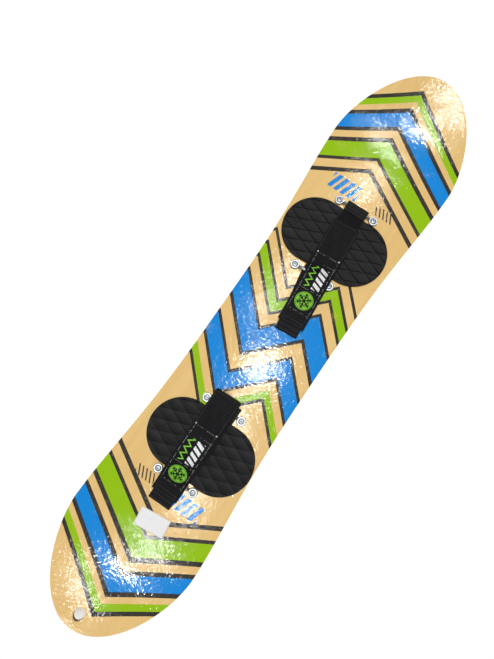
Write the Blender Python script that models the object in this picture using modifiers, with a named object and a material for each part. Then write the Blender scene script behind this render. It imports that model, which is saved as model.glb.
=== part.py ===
"""A child's wooden snowboard: a laminated deck with two rubber foot pads, each crossed by one
hook and loop strap held between two steel bails. The nose points along +X and the base rests on z = 0."""

import math

import bmesh
import bpy
import numpy as np
from mathutils import Matrix, Vector

OBJECT_NAME = "wooden_snowboard"

# Deck, in metres as everything here is. The length is measured straight, in plan.
DECK_LENGTH = 1.079
WAIST_WIDTH = 0.205
WIDEST_WIDTH = 0.2385
WIDEST_REACH = 0.394
DECK_THICKNESS = 0.009
FLAT_REACH = 0.360
TIP_LIFT = 0.053
TIP_ROW_REACH = 0.050
DECK_EDGE_ROUND = 0.0022
WAIST_POWER = 1.7
TIP_POWER = 1.73
DECK_ROWS = 40
DECK_COLUMNS = 8
CORD_HOLE_RADIUS = 0.008
CORD_HOLE_INSET = 0.018
CORD_HOLE_STEPS = 24
TIP_CROWDING_SHARE = 0.35
GRID_DIGITS = 6

# Clearances shared by every piece.
FIT_GAP = 0.0003
CUT_OVERRUN = 0.002

# Foot pads.
PAD_LENGTH = 0.198
PAD_WIDTH = 0.1195
PAD_WAIST_DRAW = 0.0015
PAD_THICKNESS = 0.005
PAD_EDGE_ROUND = 0.0012
PAD_LOBE_POINTS = 20
PAD_SIDE_SHARES = (0.5, 0.0, -0.5)
TREAD_PITCH_LONG = 0.050
TREAD_PITCH_SHORT = 0.021
POCKET_LONG = 0.027
POCKET_SHORT = 0.0105
POCKET_DEPTH = 0.001
POCKET_FLOOR_SHARE = 0.72
POCKET_MARGIN = 0.003

# Bails, the bent rods that hold the strap, and their fasteners.
BAIL_CLEAR = 0.01125
SCREW_SPACING = 0.071
ROD_RADIUS = 0.0027
BAR_HEIGHT = 0.010
BAR_STRAIGHT_REACH = 0.0178
EYE_RADIUS = 0.0077
EYE_THICKNESS = 0.0024
NECK_RADIUS = 0.0030
NECK_REACH = 0.0088
LEG_FOOT_REACH = 0.0096
LEG_SHARES = ((0.0, 0.0), (0.12, 0.03), (0.25, 0.20), (0.35, 0.46), (0.48, 0.74), (0.70, 0.94))
WASHER_RADIUS = 0.0081
WASHER_HEIGHT = 0.0030
WASHER_RIM_ROUND = 0.0012
WASHER_FLOOR = 0.0010
CUP_RADIUS = 0.0050
HEAD_RADIUS = 0.0045
HEAD_HEIGHT = 0.0030
HEAD_DOME = 0.0012
HEAD_SHARES = ((0.5, 0.25), (0.9, 1.0), (1.0, 1.6))
SHANK_RADIUS = 0.0025
SHANK_TIP_HEIGHT = 0.0012
DRIVE_LENGTH = 0.0046
DRIVE_WIDTH = 0.0010
DRIVE_DEPTH = 0.0016
BARREL_RADIUS = 0.0038
BARREL_TOP = 0.0078
FLANGE_RADIUS = 0.0085
FLANGE_THICKNESS = 0.0014
ROUND_STEPS = 18
FLAT_ANGLE = math.radians(1.0)

# Straps. Every thickness is that of one layer.
WEB_WIDTH = 0.0415
WEB_THICKNESS = 0.0018
FLAP_WIDTH = 0.0495
FLAP_THICKNESS = 0.0020
FLAP_LENGTH = 0.202
TAPE_WIDTH = 0.038
TAPE_THICKNESS = 0.0015
HOOK_TAPE_LENGTH = 0.098
LOOP_TAPE_LENGTH = 0.098
LABEL_LENGTH = 0.114
LABEL_WIDTH = 0.044
LABEL_THICKNESS = 0.0006
LABEL_INSET = 0.022
TAIL_REACH = 0.0135
LOOP_SLACK = 0.0006
LOOP_DROP = 0.0044
CINCH_PASS_HEIGHT = 0.0017
BAR_SLACK = 0.0006
FOLD_RADIUS = 0.0034
FOLD_CLEAR = 0.0045
TURNBACK_LENGTH = 0.028
SEAM_REACH = 0.0125
END_INSET = 0.002

# The side view of a strap. Arch rows are shares of the bails' half spacing, and of the crest's height.
WEB_ARCH_SHARES = ((-0.56, 0.60), (-0.26, 0.87), (0.10, 1.0), (0.40, 0.88), (0.60, 0.63), (0.74, 0.40))
FLAP_ARCH_SHARES = (
    (0.80, 0.64), (0.60, 0.80), (0.40, 0.925), (0.10, 1.0), (-0.26, 0.91), (-0.56, 0.735),
)
# Loop rows are shares of the loop's bulge, and of its half height over the bar and then under it.
LOOP_OVER_SHARES = ((0.10, 1.0), (0.75, 0.62))
LOOP_UNDER_SHARES = ((0.75, 0.66), (0.05, 1.0))
TAIL_OVER_BAR_SHARE = 0.40
LOWER_LEG_SHARES = (0.25, 0.60)
FLAP_RISE_SHARES = (0.55, 0.25)
FLAP_END_SHARES = ((1.22, 0.5), (1.60, 3.0))

# Where each binding sits on the deck, and how its strap happens to lie.
FRONT_X = 0.2106
FRONT_Y = 0.0042
FRONT_PAD_TURN = -1.0
FRONT_PAD_REACH = 0.0020
FRONT_PAD_SHIFT = 0.0027
FRONT_LOOP_BULGE = 0.0150
FRONT_CREST = 0.0300
FRONT_FOLD_REACH = 0.0410
FRONT_LOOP_SHIFT = 0.0045
FRONT_ANCHOR_SHIFT = 0.0008
FRONT_ARCH_SHIFT = 0.0045
FRONT_CINCH_SHIFT = 0.0008
FRONT_FOLD_SHIFT = -0.0016
FRONT_FLAP_SKEW = 0.018
REAR_X = -0.2085
REAR_Y = -0.0021
REAR_PAD_TURN = 1.2
REAR_PAD_REACH = -0.0020
REAR_PAD_SHIFT = -0.0016
REAR_LOOP_BULGE = 0.0058
REAR_CREST = 0.0335
REAR_FOLD_REACH = 0.1065
REAR_LOOP_SHIFT = 0.0006
REAR_ANCHOR_SHIFT = 0.0004
REAR_ARCH_SHIFT = 0.0020
REAR_CINCH_SHIFT = 0.0008
REAR_FOLD_SHIFT = 0.0185
REAR_FLAP_SKEW = 0.083

# How finely a strap is divided.
ROUTE_STEP = 0.0004
LONGEST_STRETCH = 0.009
MOST_TURN = 0.24
FOLD_STEPS = 8

HALF_LENGTH = DECK_LENGTH / 2
BAIL_REACH = PAD_WIDTH / 2 + BAIL_CLEAR
SCREW_REACH = SCREW_SPACING / 2

BINDINGS = {
    "front": {
        "x": FRONT_X,
        "y": FRONT_Y,
        "pad_turn": FRONT_PAD_TURN,
        "pad_reach": FRONT_PAD_REACH,
        "pad_shift": FRONT_PAD_SHIFT,
        "bulge": FRONT_LOOP_BULGE,
        "crest": FRONT_CREST,
        "fold_reach": FRONT_FOLD_REACH,
        "loop_shift": FRONT_LOOP_SHIFT,
        "anchor_shift": FRONT_ANCHOR_SHIFT,
        "arch_shift": FRONT_ARCH_SHIFT,
        "cinch_shift": FRONT_CINCH_SHIFT,
        "fold_shift": FRONT_FOLD_SHIFT,
        "skew": FRONT_FLAP_SKEW,
    },
    "rear": {
        "x": REAR_X,
        "y": REAR_Y,
        "pad_turn": REAR_PAD_TURN,
        "pad_reach": REAR_PAD_REACH,
        "pad_shift": REAR_PAD_SHIFT,
        "bulge": REAR_LOOP_BULGE,
        "crest": REAR_CREST,
        "fold_reach": REAR_FOLD_REACH,
        "loop_shift": REAR_LOOP_SHIFT,
        "anchor_shift": REAR_ANCHOR_SHIFT,
        "arch_shift": REAR_ARCH_SHIFT,
        "cinch_shift": REAR_CINCH_SHIFT,
        "fold_shift": REAR_FOLD_SHIFT,
        "skew": REAR_FLAP_SKEW,
    },
}

# Colour, roughness and metallic value of each kind of stuff.
FINISHES = {
    "lacquered_birch": ((0.80, 0.58, 0.28), 0.25, 0.0),
    "black_rubber": ((0.018, 0.018, 0.020), 0.60, 0.0),
    "zinc_steel": ((0.72, 0.74, 0.76), 0.28, 1.0),
    "dull_steel": ((0.45, 0.46, 0.48), 0.45, 1.0),
    "black_webbing": ((0.012, 0.012, 0.014), 0.85, 0.0),
    "hook_nylon": ((0.020, 0.020, 0.022), 0.70, 0.0),
    "loop_pile": ((0.015, 0.015, 0.017), 0.95, 0.0),
    "label_cloth": ((0.010, 0.010, 0.010), 0.75, 0.0),
}


def clear_scene():
    for obj in list(bpy.data.objects):
        bpy.data.objects.remove(obj, do_unlink=True)


def new_collection(name, shown):
    collection = bpy.data.collections.new(name)
    bpy.context.scene.collection.children.link(collection)
    collection.hide_render = not shown
    return collection


def finish_for(name, kind):
    colour, roughness, metallic = FINISHES[kind]
    material = bpy.data.materials.new(name + "_" + kind)
    material.use_nodes = True
    shader = material.node_tree.nodes["Principled BSDF"]
    shader.inputs["Base Color"].default_value = (*colour, 1.0)
    shader.inputs["Roughness"].default_value = roughness
    shader.inputs["Metallic"].default_value = metallic
    material.diffuse_color = (*colour, 1.0)
    return material


def add_piece(name, mesh, kind, parent=None, location=(0.0, 0.0, 0.0), turn=0.0):
    """A visible sub-part, placed in its parent's space, with a material slot of its own."""
    obj = bpy.data.objects.new(name, mesh)
    parts.objects.link(obj)
    if not mesh.materials:
        mesh.materials.append(None)
    obj.material_slots[0].link = "OBJECT"
    obj.material_slots[0].material = finish_for(name, kind)
    obj.parent = parent
    obj.location = location
    obj.rotation_euler = (0.0, 0.0, turn)
    return obj


def add_helper(name, mesh):
    """A cutter, or a shape that is joined to another: never a sub-part itself."""
    obj = bpy.data.objects.new(name, mesh)
    helpers.objects.link(obj)
    obj.hide_render = True
    obj.display_type = "WIRE"
    return obj


def add_empty(name, location, turn=0.0, parent=None):
    empty = bpy.data.objects.new(name, None)
    parts.objects.link(empty)
    empty.parent = parent
    empty.location = location
    empty.rotation_euler = (0.0, 0.0, turn)
    return empty


def mesh_from(bm, name):
    bmesh.ops.recalc_face_normals(bm, faces=bm.faces)
    mesh = bpy.data.meshes.new(name)
    bm.to_mesh(mesh)
    bm.free()
    return mesh


def smooth_shaded(mesh, sharp_angle=35.0):
    mesh.shade_smooth()
    mesh.set_sharp_from_angle(angle=math.radians(sharp_angle))
    return mesh


def baked(obj):
    """The evaluated mesh of an object with modifiers, after which the object is removed."""
    bpy.context.view_layer.update()
    graph = bpy.context.evaluated_depsgraph_get()
    mesh = bpy.data.meshes.new_from_object(obj.evaluated_get(graph))
    mesh.name = obj.name + "_mesh"
    bpy.data.objects.remove(obj, do_unlink=True)
    return mesh


def cylinder(bm, centre, radius, bottom, top, steps=ROUND_STEPS):
    placed = Matrix.Translation((centre[0], centre[1], (bottom + top) / 2))
    made = bmesh.ops.create_cone(
        bm,
        cap_ends=True,
        segments=steps,
        radius1=radius,
        radius2=radius,
        depth=top - bottom,
        matrix=placed,
    )
    return made["verts"]


def cylinder_mesh(name, radius, bottom, top, steps=ROUND_STEPS):
    bm = bmesh.new()
    cylinder(bm, (0.0, 0.0), radius, bottom, top, steps)
    return mesh_from(bm, name)


def turned(name, profile):
    """A closed profile of (radius, height) points, turned about Z. It runs down its outer side."""
    bm = bmesh.new()
    ring = [bm.verts.new((radius, 0.0, height)) for radius, height in profile]
    on_axis = profile[0][0] == 0.0
    pairs = zip(ring, ring[1:]) if on_axis else zip(ring, ring[1:] + ring[:1])
    for first, second in pairs:
        bm.edges.new((first, second))
    mesh = bpy.data.meshes.new(name)
    bm.to_mesh(mesh)
    bm.free()
    obj = add_helper(name, mesh)
    screw = obj.modifiers.new("turn", "SCREW")
    screw.axis = "Z"
    screw.steps = ROUND_STEPS
    screw.render_steps = ROUND_STEPS
    screw.use_merge_vertices = True
    screw.merge_threshold = FIT_GAP / 10
    return obj


def boolean(obj, other, operation):
    modifier = obj.modifiers.new(operation.lower() + "_" + other.name, "BOOLEAN")
    modifier.operation = operation
    modifier.object = other
    modifier.solver = "EXACT"
    return modifier


def rounded(obj, width, angle=50.0, segments=2):
    bevel = obj.modifiers.new("rounded_edges", "BEVEL")
    bevel.width = width
    bevel.segments = segments
    bevel.limit_method = "ANGLE"
    bevel.angle_limit = math.radians(angle)
    return bevel


# Deck


def half_width(x):
    """Half the deck's width at a distance x from the middle: a waist, then rounded ends."""
    reach = min(abs(x), HALF_LENGTH)
    if reach <= WIDEST_REACH:
        rise = (reach / WIDEST_REACH) ** WAIST_POWER
        rise = rise * rise * (3.0 - 2.0 * rise)
        return (WAIST_WIDTH + (WIDEST_WIDTH - WAIST_WIDTH) * rise) / 2
    run = (reach - WIDEST_REACH) / (HALF_LENGTH - WIDEST_REACH)
    return WIDEST_WIDTH / 2 * math.sqrt(max(0.0, 1.0 - run**TIP_POWER))


def outline_reach(y):
    """How far along the deck its rounded end reaches at a distance y off the centre line."""
    share = min(1.0, abs(y) / (WIDEST_WIDTH / 2))
    run = (1.0 - share * share) ** (1.0 / TIP_POWER)
    return WIDEST_REACH + run * (HALF_LENGTH - WIDEST_REACH)


def tip_rise(x):
    """How high the deck has turned up at x."""
    run = max(0.0, abs(x) - FLAT_REACH) / (HALF_LENGTH - FLAT_REACH)
    return TIP_LIFT * run * run


def tip_slope(x):
    run = max(0.0, abs(x) - FLAT_REACH) / (HALF_LENGTH - FLAT_REACH)
    return math.copysign(2.0 * TIP_LIFT * run / (HALF_LENGTH - FLAT_REACH), x)


def deck_point(along, across):
    """A point of the deck's top for along and across from -1 to 1. Its end rows follow the round tip."""
    crowded = (1.0 + TIP_CROWDING_SHARE) * abs(along) - TIP_CROWDING_SHARE * abs(along) ** 3
    side = outline_reach(TIP_ROW_REACH) * crowded
    bow = (HALF_LENGTH - outline_reach(TIP_ROW_REACH)) * crowded**4
    y = across * half_width(side)
    x = side + bow * (1.0 - across * across) if abs(along) < 1.0 else outline_reach(y)
    x = math.copysign(x, along)
    return Vector((x, y, DECK_THICKNESS + tip_rise(x)))


def make_deck():
    bm = bmesh.new()
    bmesh.ops.create_grid(bm, x_segments=DECK_ROWS, y_segments=DECK_COLUMNS, size=1.0)
    for vert in bm.verts:
        vert.co = deck_point(round(vert.co.x, GRID_DIGITS), round(vert.co.y, GRID_DIGITS))
    mesh = mesh_from(bm, "deck")
    if mesh.polygons[0].normal.z < 0:
        mesh.flip_normals()
    deck = add_piece("deck", mesh, "lacquered_birch")
    solid = deck.modifiers.new("thickness", "SOLIDIFY")
    solid.thickness = DECK_THICKNESS
    solid.offset = -1.0
    rounded(deck, DECK_EDGE_ROUND)
    boolean(deck, deck_cutter(), "DIFFERENCE")
    smooth_shaded(mesh)
    return deck


def deck_cutter():
    """Holes and recesses for the tee nuts, and the cord hole square to the turned-up nose."""
    recess_top = FIT_GAP + FLANGE_THICKNESS + FIT_GAP
    cutter = turned(
        "tee_nut_cutter",
        (
            (0.0, DECK_THICKNESS + CUT_OVERRUN),
            (BARREL_RADIUS + FIT_GAP, DECK_THICKNESS + CUT_OVERRUN),
            (BARREL_RADIUS + FIT_GAP, recess_top),
            (FLANGE_RADIUS + FIT_GAP, recess_top),
            (FLANGE_RADIUS + FIT_GAP, -CUT_OVERRUN),
            (0.0, -CUT_OVERRUN),
        ),
    )
    bore = baked(cutter)
    bm = bmesh.new()
    for binding in BINDINGS.values():
        for along in (-BAIL_REACH, BAIL_REACH):
            for across in (-SCREW_REACH, SCREW_REACH):
                copy = bore.copy()
                place = (binding["x"] + along, binding["y"] + across, 0.0)
                copy.transform(Matrix.Translation(place))
                bm.from_mesh(copy)
                bpy.data.meshes.remove(copy)
    hole_x = HALF_LENGTH - CORD_HOLE_INSET
    deep = 2 * DECK_THICKNESS
    made = cylinder(bm, (0.0, 0.0), CORD_HOLE_RADIUS, -deep, deep, CORD_HOLE_STEPS)
    square = Matrix.Rotation(-math.atan(tip_slope(hole_x)), 4, "Y")
    place = Matrix.Translation((hole_x, 0.0, DECK_THICKNESS / 2 + tip_rise(hole_x)))
    bmesh.ops.transform(bm, matrix=place @ square, verts=made)
    return add_helper("deck_holes", mesh_from(bm, "deck_holes"))


# Foot pads


def pad_half_width(y):
    """Half the pad's width at a distance y from its middle, as far as its lobes' centres."""
    lobe_centre = PAD_LENGTH / 2 - PAD_WIDTH / 2
    drawn = math.cos(math.pi / 2 * min(1.0, abs(y) / lobe_centre)) ** 2
    return PAD_WIDTH / 2 - PAD_WAIST_DRAW * drawn


def pad_outline():
    lobe = PAD_WIDTH / 2
    lobe_centre = PAD_LENGTH / 2 - lobe
    points = []
    for side in (1.0, -1.0):
        for step in range(PAD_LOBE_POINTS + 1):
            angle = math.pi * step / PAD_LOBE_POINTS
            x = side * lobe * math.cos(angle)
            y = side * (lobe_centre + lobe * math.sin(angle))
            points.append((x, y))
        for share in PAD_SIDE_SHARES:
            y = side * share * lobe_centre
            points.append((-side * pad_half_width(y), y))
    return points


def inside_pad(x, y, margin):
    lobe_centre = PAD_LENGTH / 2 - PAD_WIDTH / 2
    if abs(y) < lobe_centre:
        return abs(x) < pad_half_width(y) - margin
    return math.hypot(x, abs(y) - lobe_centre) < PAD_WIDTH / 2 - margin


def pocket_centres():
    """Places of the diamond pockets: rows along the board, every other column half a pitch on."""
    column_step = TREAD_PITCH_LONG / 2
    columns = int(PAD_LENGTH / 2 / column_step)
    rows = int(PAD_WIDTH / 2 / TREAD_PITCH_SHORT) + 1
    for column in range(-columns, columns + 1):
        shift = TREAD_PITCH_SHORT / 2 * (column % 2)
        for row in range(-rows, rows + 1):
            x = row * TREAD_PITCH_SHORT + shift
            y = column * column_step
            corners = (
                (x, y - POCKET_LONG / 2),
                (x, y + POCKET_LONG / 2),
                (x - POCKET_SHORT / 2, y),
                (x + POCKET_SHORT / 2, y),
            )
            if all(inside_pad(cx, cy, POCKET_MARGIN) for cx, cy in corners):
                yield x, y


def pocket_cutter():
    bm = bmesh.new()
    grown = 1.0 + CUT_OVERRUN / POCKET_DEPTH * (1.0 - POCKET_FLOOR_SHARE)
    depth = POCKET_DEPTH + CUT_OVERRUN
    middle = PAD_THICKNESS - POCKET_DEPTH + depth / 2
    for x, y in pocket_centres():
        stretch = Matrix.Diagonal((POCKET_SHORT / 2, POCKET_LONG / 2, 1.0, 1.0))
        bmesh.ops.create_cone(
            bm,
            cap_ends=True,
            segments=4,
            radius1=POCKET_FLOOR_SHARE,
            radius2=grown,
            depth=depth,
            matrix=Matrix.Translation((x, y, middle)) @ stretch,
        )
    return add_helper("tread_pockets", mesh_from(bm, "tread_pockets"))


def make_pad_mesh():
    curve = bpy.data.curves.new("pad_outline", "CURVE")
    curve.dimensions = "2D"
    curve.fill_mode = "BOTH"
    curve.extrude = PAD_THICKNESS / 2
    spline = curve.splines.new("POLY")
    points = pad_outline()
    spline.points.add(len(points) - 1)
    for target, (x, y) in zip(spline.points, points):
        target.co = (x, y, 0.0, 1.0)
    spline.use_cyclic_u = True
    outline = bpy.data.objects.new("pad_outline", curve)
    helpers.objects.link(outline)
    mesh = welded(baked(outline))
    mesh.transform(Matrix.Translation((0.0, 0.0, PAD_THICKNESS / 2)))
    pad = add_helper("pad_blank", mesh)
    rounded(pad, PAD_EDGE_ROUND)
    cutter = pocket_cutter()
    boolean(pad, cutter, "DIFFERENCE")
    return smooth_shaded(baked(pad))


def welded(mesh):
    bm = bmesh.new()
    bm.from_mesh(mesh)
    bmesh.ops.remove_doubles(bm, verts=bm.verts, dist=FIT_GAP / 10)
    bmesh.ops.recalc_face_normals(bm, faces=bm.faces)
    bm.to_mesh(mesh)
    bm.free()
    return mesh


# Bails and fasteners


def make_bail_mesh():
    """A bar on two legs, whose flattened eyes lie on the deck."""
    leg_foot = (SCREW_REACH - LEG_FOOT_REACH, 2 * FIT_GAP + ROD_RADIUS)
    leg_run = leg_foot[0] - BAR_STRAIGHT_REACH
    leg_rise = BAR_HEIGHT - leg_foot[1]
    side = [(leg_foot[0] - a * leg_run, leg_foot[1] + r * leg_rise) for a, r in LEG_SHARES]
    side.append((BAR_STRAIGHT_REACH, BAR_HEIGHT))
    route = [(0.0, y, z) for y, z in side] + [(0.0, -y, z) for y, z in reversed(side)]
    curve = bpy.data.curves.new("rod", "CURVE")
    curve.dimensions = "3D"
    curve.bevel_depth = ROD_RADIUS
    curve.bevel_resolution = 3
    curve.use_fill_caps = True
    spline = curve.splines.new("POLY")
    spline.points.add(len(route) - 1)
    for target, place in zip(spline.points, route):
        target.co = (*place, 1.0)
    rod = bpy.data.objects.new("rod", curve)
    helpers.objects.link(rod)
    bail = add_helper("bail_blank", welded(baked(rod)))
    for across in (-1.0, 1.0):
        eye = (0.0, across * SCREW_REACH)
        neck = (0.0, across * (SCREW_REACH - NECK_REACH))
        bm = bmesh.new()
        cylinder(bm, eye, EYE_RADIUS, FIT_GAP, FIT_GAP + EYE_THICKNESS)
        cylinder(bm, neck, NECK_RADIUS, FIT_GAP, FIT_GAP + EYE_THICKNESS)
        hull = bmesh.ops.convex_hull(bm, input=bm.verts)
        bmesh.ops.delete(bm, geom=hull["geom_interior"], context="VERTS")
        left = [face for face in bm.faces if face not in hull["geom"]]
        bmesh.ops.delete(bm, geom=left, context="FACES_ONLY")
        bmesh.ops.dissolve_limit(bm, angle_limit=FLAT_ANGLE, verts=bm.verts, edges=bm.edges)
        plate = add_helper("eye_plate", mesh_from(bm, "eye_plate"))
        boolean(bail, plate, "UNION")
        bore = cylinder_mesh("eye_bore", SHANK_RADIUS + FIT_GAP, -CUT_OVERRUN, BAR_HEIGHT)
        bore.transform(Matrix.Translation((*eye, 0.0)))
        boolean(bail, add_helper("eye_bore", bore), "DIFFERENCE")
    return smooth_shaded(baked(bail))


def make_washer_mesh():
    """A cup washer: a thick ring with a round rim and a sunk seat for the screw's head."""
    bore = SHANK_RADIUS + FIT_GAP
    rim = WASHER_RADIUS - WASHER_RIM_ROUND
    top = WASHER_HEIGHT
    profile = [
        (CUP_RADIUS, top - WASHER_RIM_ROUND / 2),
        (CUP_RADIUS + WASHER_RIM_ROUND / 2, top),
        (rim, top),
        (WASHER_RADIUS - WASHER_RIM_ROUND / 3, top - WASHER_RIM_ROUND / 3),
        (WASHER_RADIUS, top - WASHER_RIM_ROUND),
        (WASHER_RADIUS, 0.0),
        (bore, 0.0),
        (bore, WASHER_FLOOR),
        (CUP_RADIUS, WASHER_FLOOR),
    ]
    return smooth_shaded(baked(turned("washer", profile)))


def washer_base():
    return DECK_THICKNESS + FIT_GAP + EYE_THICKNESS + FIT_GAP


def head_base():
    return washer_base() + WASHER_FLOOR + FIT_GAP


def make_screw_mesh():
    """A domed head with a cross recess over a plain shank, drawn from the underside of the head."""
    tip = SHANK_TIP_HEIGHT - head_base()
    dome = [(HEAD_RADIUS * out, HEAD_HEIGHT - HEAD_DOME * down) for out, down in HEAD_SHARES]
    profile = [
        (0.0, HEAD_HEIGHT),
        *dome,
        (HEAD_RADIUS, 0.0),
        (SHANK_RADIUS, 0.0),
        (SHANK_RADIUS, tip),
        (0.0, tip),
    ]
    screw = add_helper("screw_blank", baked(turned("screw", profile)))
    for size in ((DRIVE_LENGTH, DRIVE_WIDTH), (DRIVE_WIDTH, DRIVE_LENGTH)):
        bm = bmesh.new()
        bmesh.ops.create_cube(bm, size=1.0)
        deep = DRIVE_DEPTH + CUT_OVERRUN
        middle = HEAD_HEIGHT - DRIVE_DEPTH + deep / 2
        block = Matrix.Translation((0.0, 0.0, middle)) @ Matrix.Diagonal((*size, deep, 1.0))
        bmesh.ops.transform(bm, matrix=block, verts=bm.verts)
        boolean(screw, add_helper("drive_slot", mesh_from(bm, "drive_slot")), "DIFFERENCE")
    return smooth_shaded(baked(screw))


def make_tee_nut_mesh():
    """A flanged sleeve let into the base, which the screw is driven into."""
    bore = SHANK_RADIUS + FIT_GAP
    profile = [
        (BARREL_RADIUS, BARREL_TOP),
        (BARREL_RADIUS, FIT_GAP + FLANGE_THICKNESS),
        (FLANGE_RADIUS, FIT_GAP + FLANGE_THICKNESS),
        (FLANGE_RADIUS, FIT_GAP),
        (bore, FIT_GAP),
        (bore, BARREL_TOP),
    ]
    return smooth_shaded(baked(turned("tee_nut", profile)))


# Straps. A route's rows are: along the board, across it, height, and the slope of crosswise lines.


def placed(x, height, lateral):
    """A route's row, from a place in the strap's side view and its (shift, slope) across."""
    return (x, lateral[0], height, lateral[1])


def smooth_route(rows):
    """A curve through the rows, at a fine and even step."""
    rows = np.array(rows, float)
    ends = np.vstack([2 * rows[0] - rows[1], rows, 2 * rows[-1] - rows[-2]])
    fine = []
    for first, start, finish, last in zip(ends, ends[1:], ends[2:], ends[3:]):
        count = max(2, int(np.linalg.norm((finish - start)[:3]) / ROUTE_STEP))
        knots = [0.0]
        for one, two in ((first, start), (start, finish), (finish, last)):
            knots.append(knots[-1] + max(np.linalg.norm((two - one)[:3]), ROUTE_STEP) ** 0.5)
        for t in np.linspace(knots[1], knots[2], count, endpoint=False):
            fine.append(catmull(t, knots, (first, start, finish, last)))
    fine.append(rows[-1])
    return np.array(fine)


def catmull(t, knots, corners):
    """The point at t of the centripetal curve through four corners."""

    def between(one, two, low, high):
        share = (t - low) / (high - low)
        return one * (1.0 - share) + two * share

    first = [between(corners[i], corners[i + 1], knots[i], knots[i + 1]) for i in range(3)]
    second = [between(first[i], first[i + 1], knots[i], knots[i + 2]) for i in range(2)]
    return between(*second, knots[1], knots[2])


def lengths_along(route):
    steps = np.linalg.norm(np.diff(route[:, :3], axis=0), axis=1)
    return np.concatenate([[0.0], np.cumsum(steps)])


def stretch_of(route, start, length):
    """The part of a route from start, as long as length."""
    run = lengths_along(route)
    start = max(0.0, start)
    finish = min(run[-1], start + length)
    inner = route[(run > start) & (run < finish)]
    ends = [[np.interp(at, run, route[:, k]) for k in range(4)] for at in (start, finish)]
    return np.vstack([ends[0], inner, ends[1]])


def raised(route, height):
    """The route moved square to its own surface. Positive is the side on its left as it runs."""
    along = np.gradient(route[:, (0, 2)], axis=0)
    along /= np.linalg.norm(along, axis=1)[:, None]
    moved = route.copy()
    moved[:, 0] -= along[:, 1] * height
    moved[:, 2] += along[:, 0] * height
    return moved


def thinned(route):
    """Fewer rows, close together only where the route bends."""
    kept = [0]
    run = lengths_along(route)
    steps = np.diff(route[:, (0, 2)], axis=0)
    heading = np.unwrap(np.arctan2(steps[:, 1], steps[:, 0]))
    for index in range(1, len(route) - 1):
        turned_by = abs(heading[index] - heading[kept[-1]])
        if turned_by > MOST_TURN or run[index] - run[kept[-1]] > LONGEST_STRETCH:
            kept.append(index)
    if run[-1] - run[kept[-1]] < 3 * ROUTE_STEP and len(kept) > 2:
        kept.pop()
    kept.append(len(route) - 1)
    return route[kept]


def ribbon(name, route, width, thickness, kind, parent, into):
    """One flat layer: an open strip across the route, given its thickness by Solidify."""
    bm = bmesh.new()
    rows = []
    for x, y, z, slope in thinned(route):
        across = Vector((-slope, 1.0, 0.0)).normalized() * (width / 2)
        middle = Vector((x, y, z))
        rows.append((bm.verts.new(middle - across), bm.verts.new(middle + across)))
    for (left, right), (next_left, next_right) in zip(rows, rows[1:]):
        bm.faces.new((left, right, next_right, next_left))
    mesh = mesh_from(bm, name)
    mesh.transform(into)
    piece = add_piece(name, mesh, kind, parent)
    solid = piece.modifiers.new("thickness", "SOLIDIFY")
    solid.thickness = thickness
    solid.offset = 0.0
    solid.use_even_offset = True
    smooth_shaded(mesh)
    return piece


def web_height():
    """Middle of the web where it lies on the deck."""
    return FIT_GAP + WEB_THICKNESS / 2


def fold_x(binding):
    return BAIL_REACH + binding["fold_reach"]


def upper_height():
    """Middle of the web where it has turned back over the fold."""
    return web_height() + 2 * FOLD_RADIUS


def stack_height():
    """From the middle of the web up to the middle of the flap, with both tapes between."""
    return (WEB_THICKNESS + FLAP_THICKNESS) / 2 + 2 * TAPE_THICKNESS + 3 * FIT_GAP


def web_route(binding):
    """From the sewn tail, round the anchor bar, over the pad and under the cinch bar to the fold."""
    anchor, bulge, crest = -BAIL_REACH, binding["bulge"], binding["crest"]
    half = WEB_THICKNESS / 2
    sewn = BAR_HEIGHT - half
    over = ROD_RADIUS + LOOP_SLACK + half
    under = ROD_RADIUS + LOOP_DROP + half
    tail = anchor + TAIL_REACH
    upper = [
        (tail, sewn + WEB_THICKNESS + FIT_GAP),
        (anchor + TAIL_OVER_BAR_SHARE * TAIL_REACH, BAR_HEIGHT + over - FIT_GAP),
    ]
    upper += [(anchor - out * bulge, BAR_HEIGHT + up * over) for out, up in LOOP_OVER_SHARES]
    lower = [(anchor - bulge, BAR_HEIGHT - FIT_GAP)]
    lower += [(anchor - out * bulge, BAR_HEIGHT - down * under) for out, down in LOOP_UNDER_SHARES]
    lower.append((tail, sewn))
    lower += [(along * BAIL_REACH, up * crest) for along, up in WEB_ARCH_SHARES]
    pad_end = PAD_WIDTH / 2 + binding["pad_reach"]
    lower.append((pad_end, PAD_THICKNESS + half + 2 * FIT_GAP))
    lower.append((BAIL_REACH, CINCH_PASS_HEIGHT))
    for share in LOWER_LEG_SHARES:
        lower.append((BAIL_REACH + share * binding["fold_reach"], web_height()))
    lower.append((fold_x(binding) - FOLD_CLEAR / 2, web_height()))
    lower.append((fold_x(binding), web_height()))
    rows = [placed(x, z, loop_lateral(binding, x)) for x, z in upper]
    return smooth_route(rows + [placed(x, z, web_lateral(binding, x)) for x, z in lower])


def loop_lateral(binding, x):
    """As web_lateral, for the upper side of the loop, which may lie askew on its bar."""
    marks = (-BAIL_REACH, 0.0)
    return float(np.interp(x, marks, (binding["loop_shift"], binding["arch_shift"]))), 0.0


def web_lateral(binding, x):
    """How far across the web's middle lies at x, and the slope of its crosswise lines."""
    marks = (-BAIL_REACH - binding["bulge"], -BAIL_REACH, 0.0, BAIL_REACH, fold_x(binding))
    names = ("loop_shift", "anchor_shift", "arch_shift", "cinch_shift", "fold_shift")
    shifts = [binding[name] for name in names]
    slopes = (0.0, 0.0, 0.0, 0.0, binding["skew"])
    return float(np.interp(x, marks, shifts)), float(np.interp(x, marks, slopes))


def flap_lateral(binding, x):
    return binding["fold_shift"] + binding["skew"] * (x - fold_x(binding)), binding["skew"]


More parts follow.
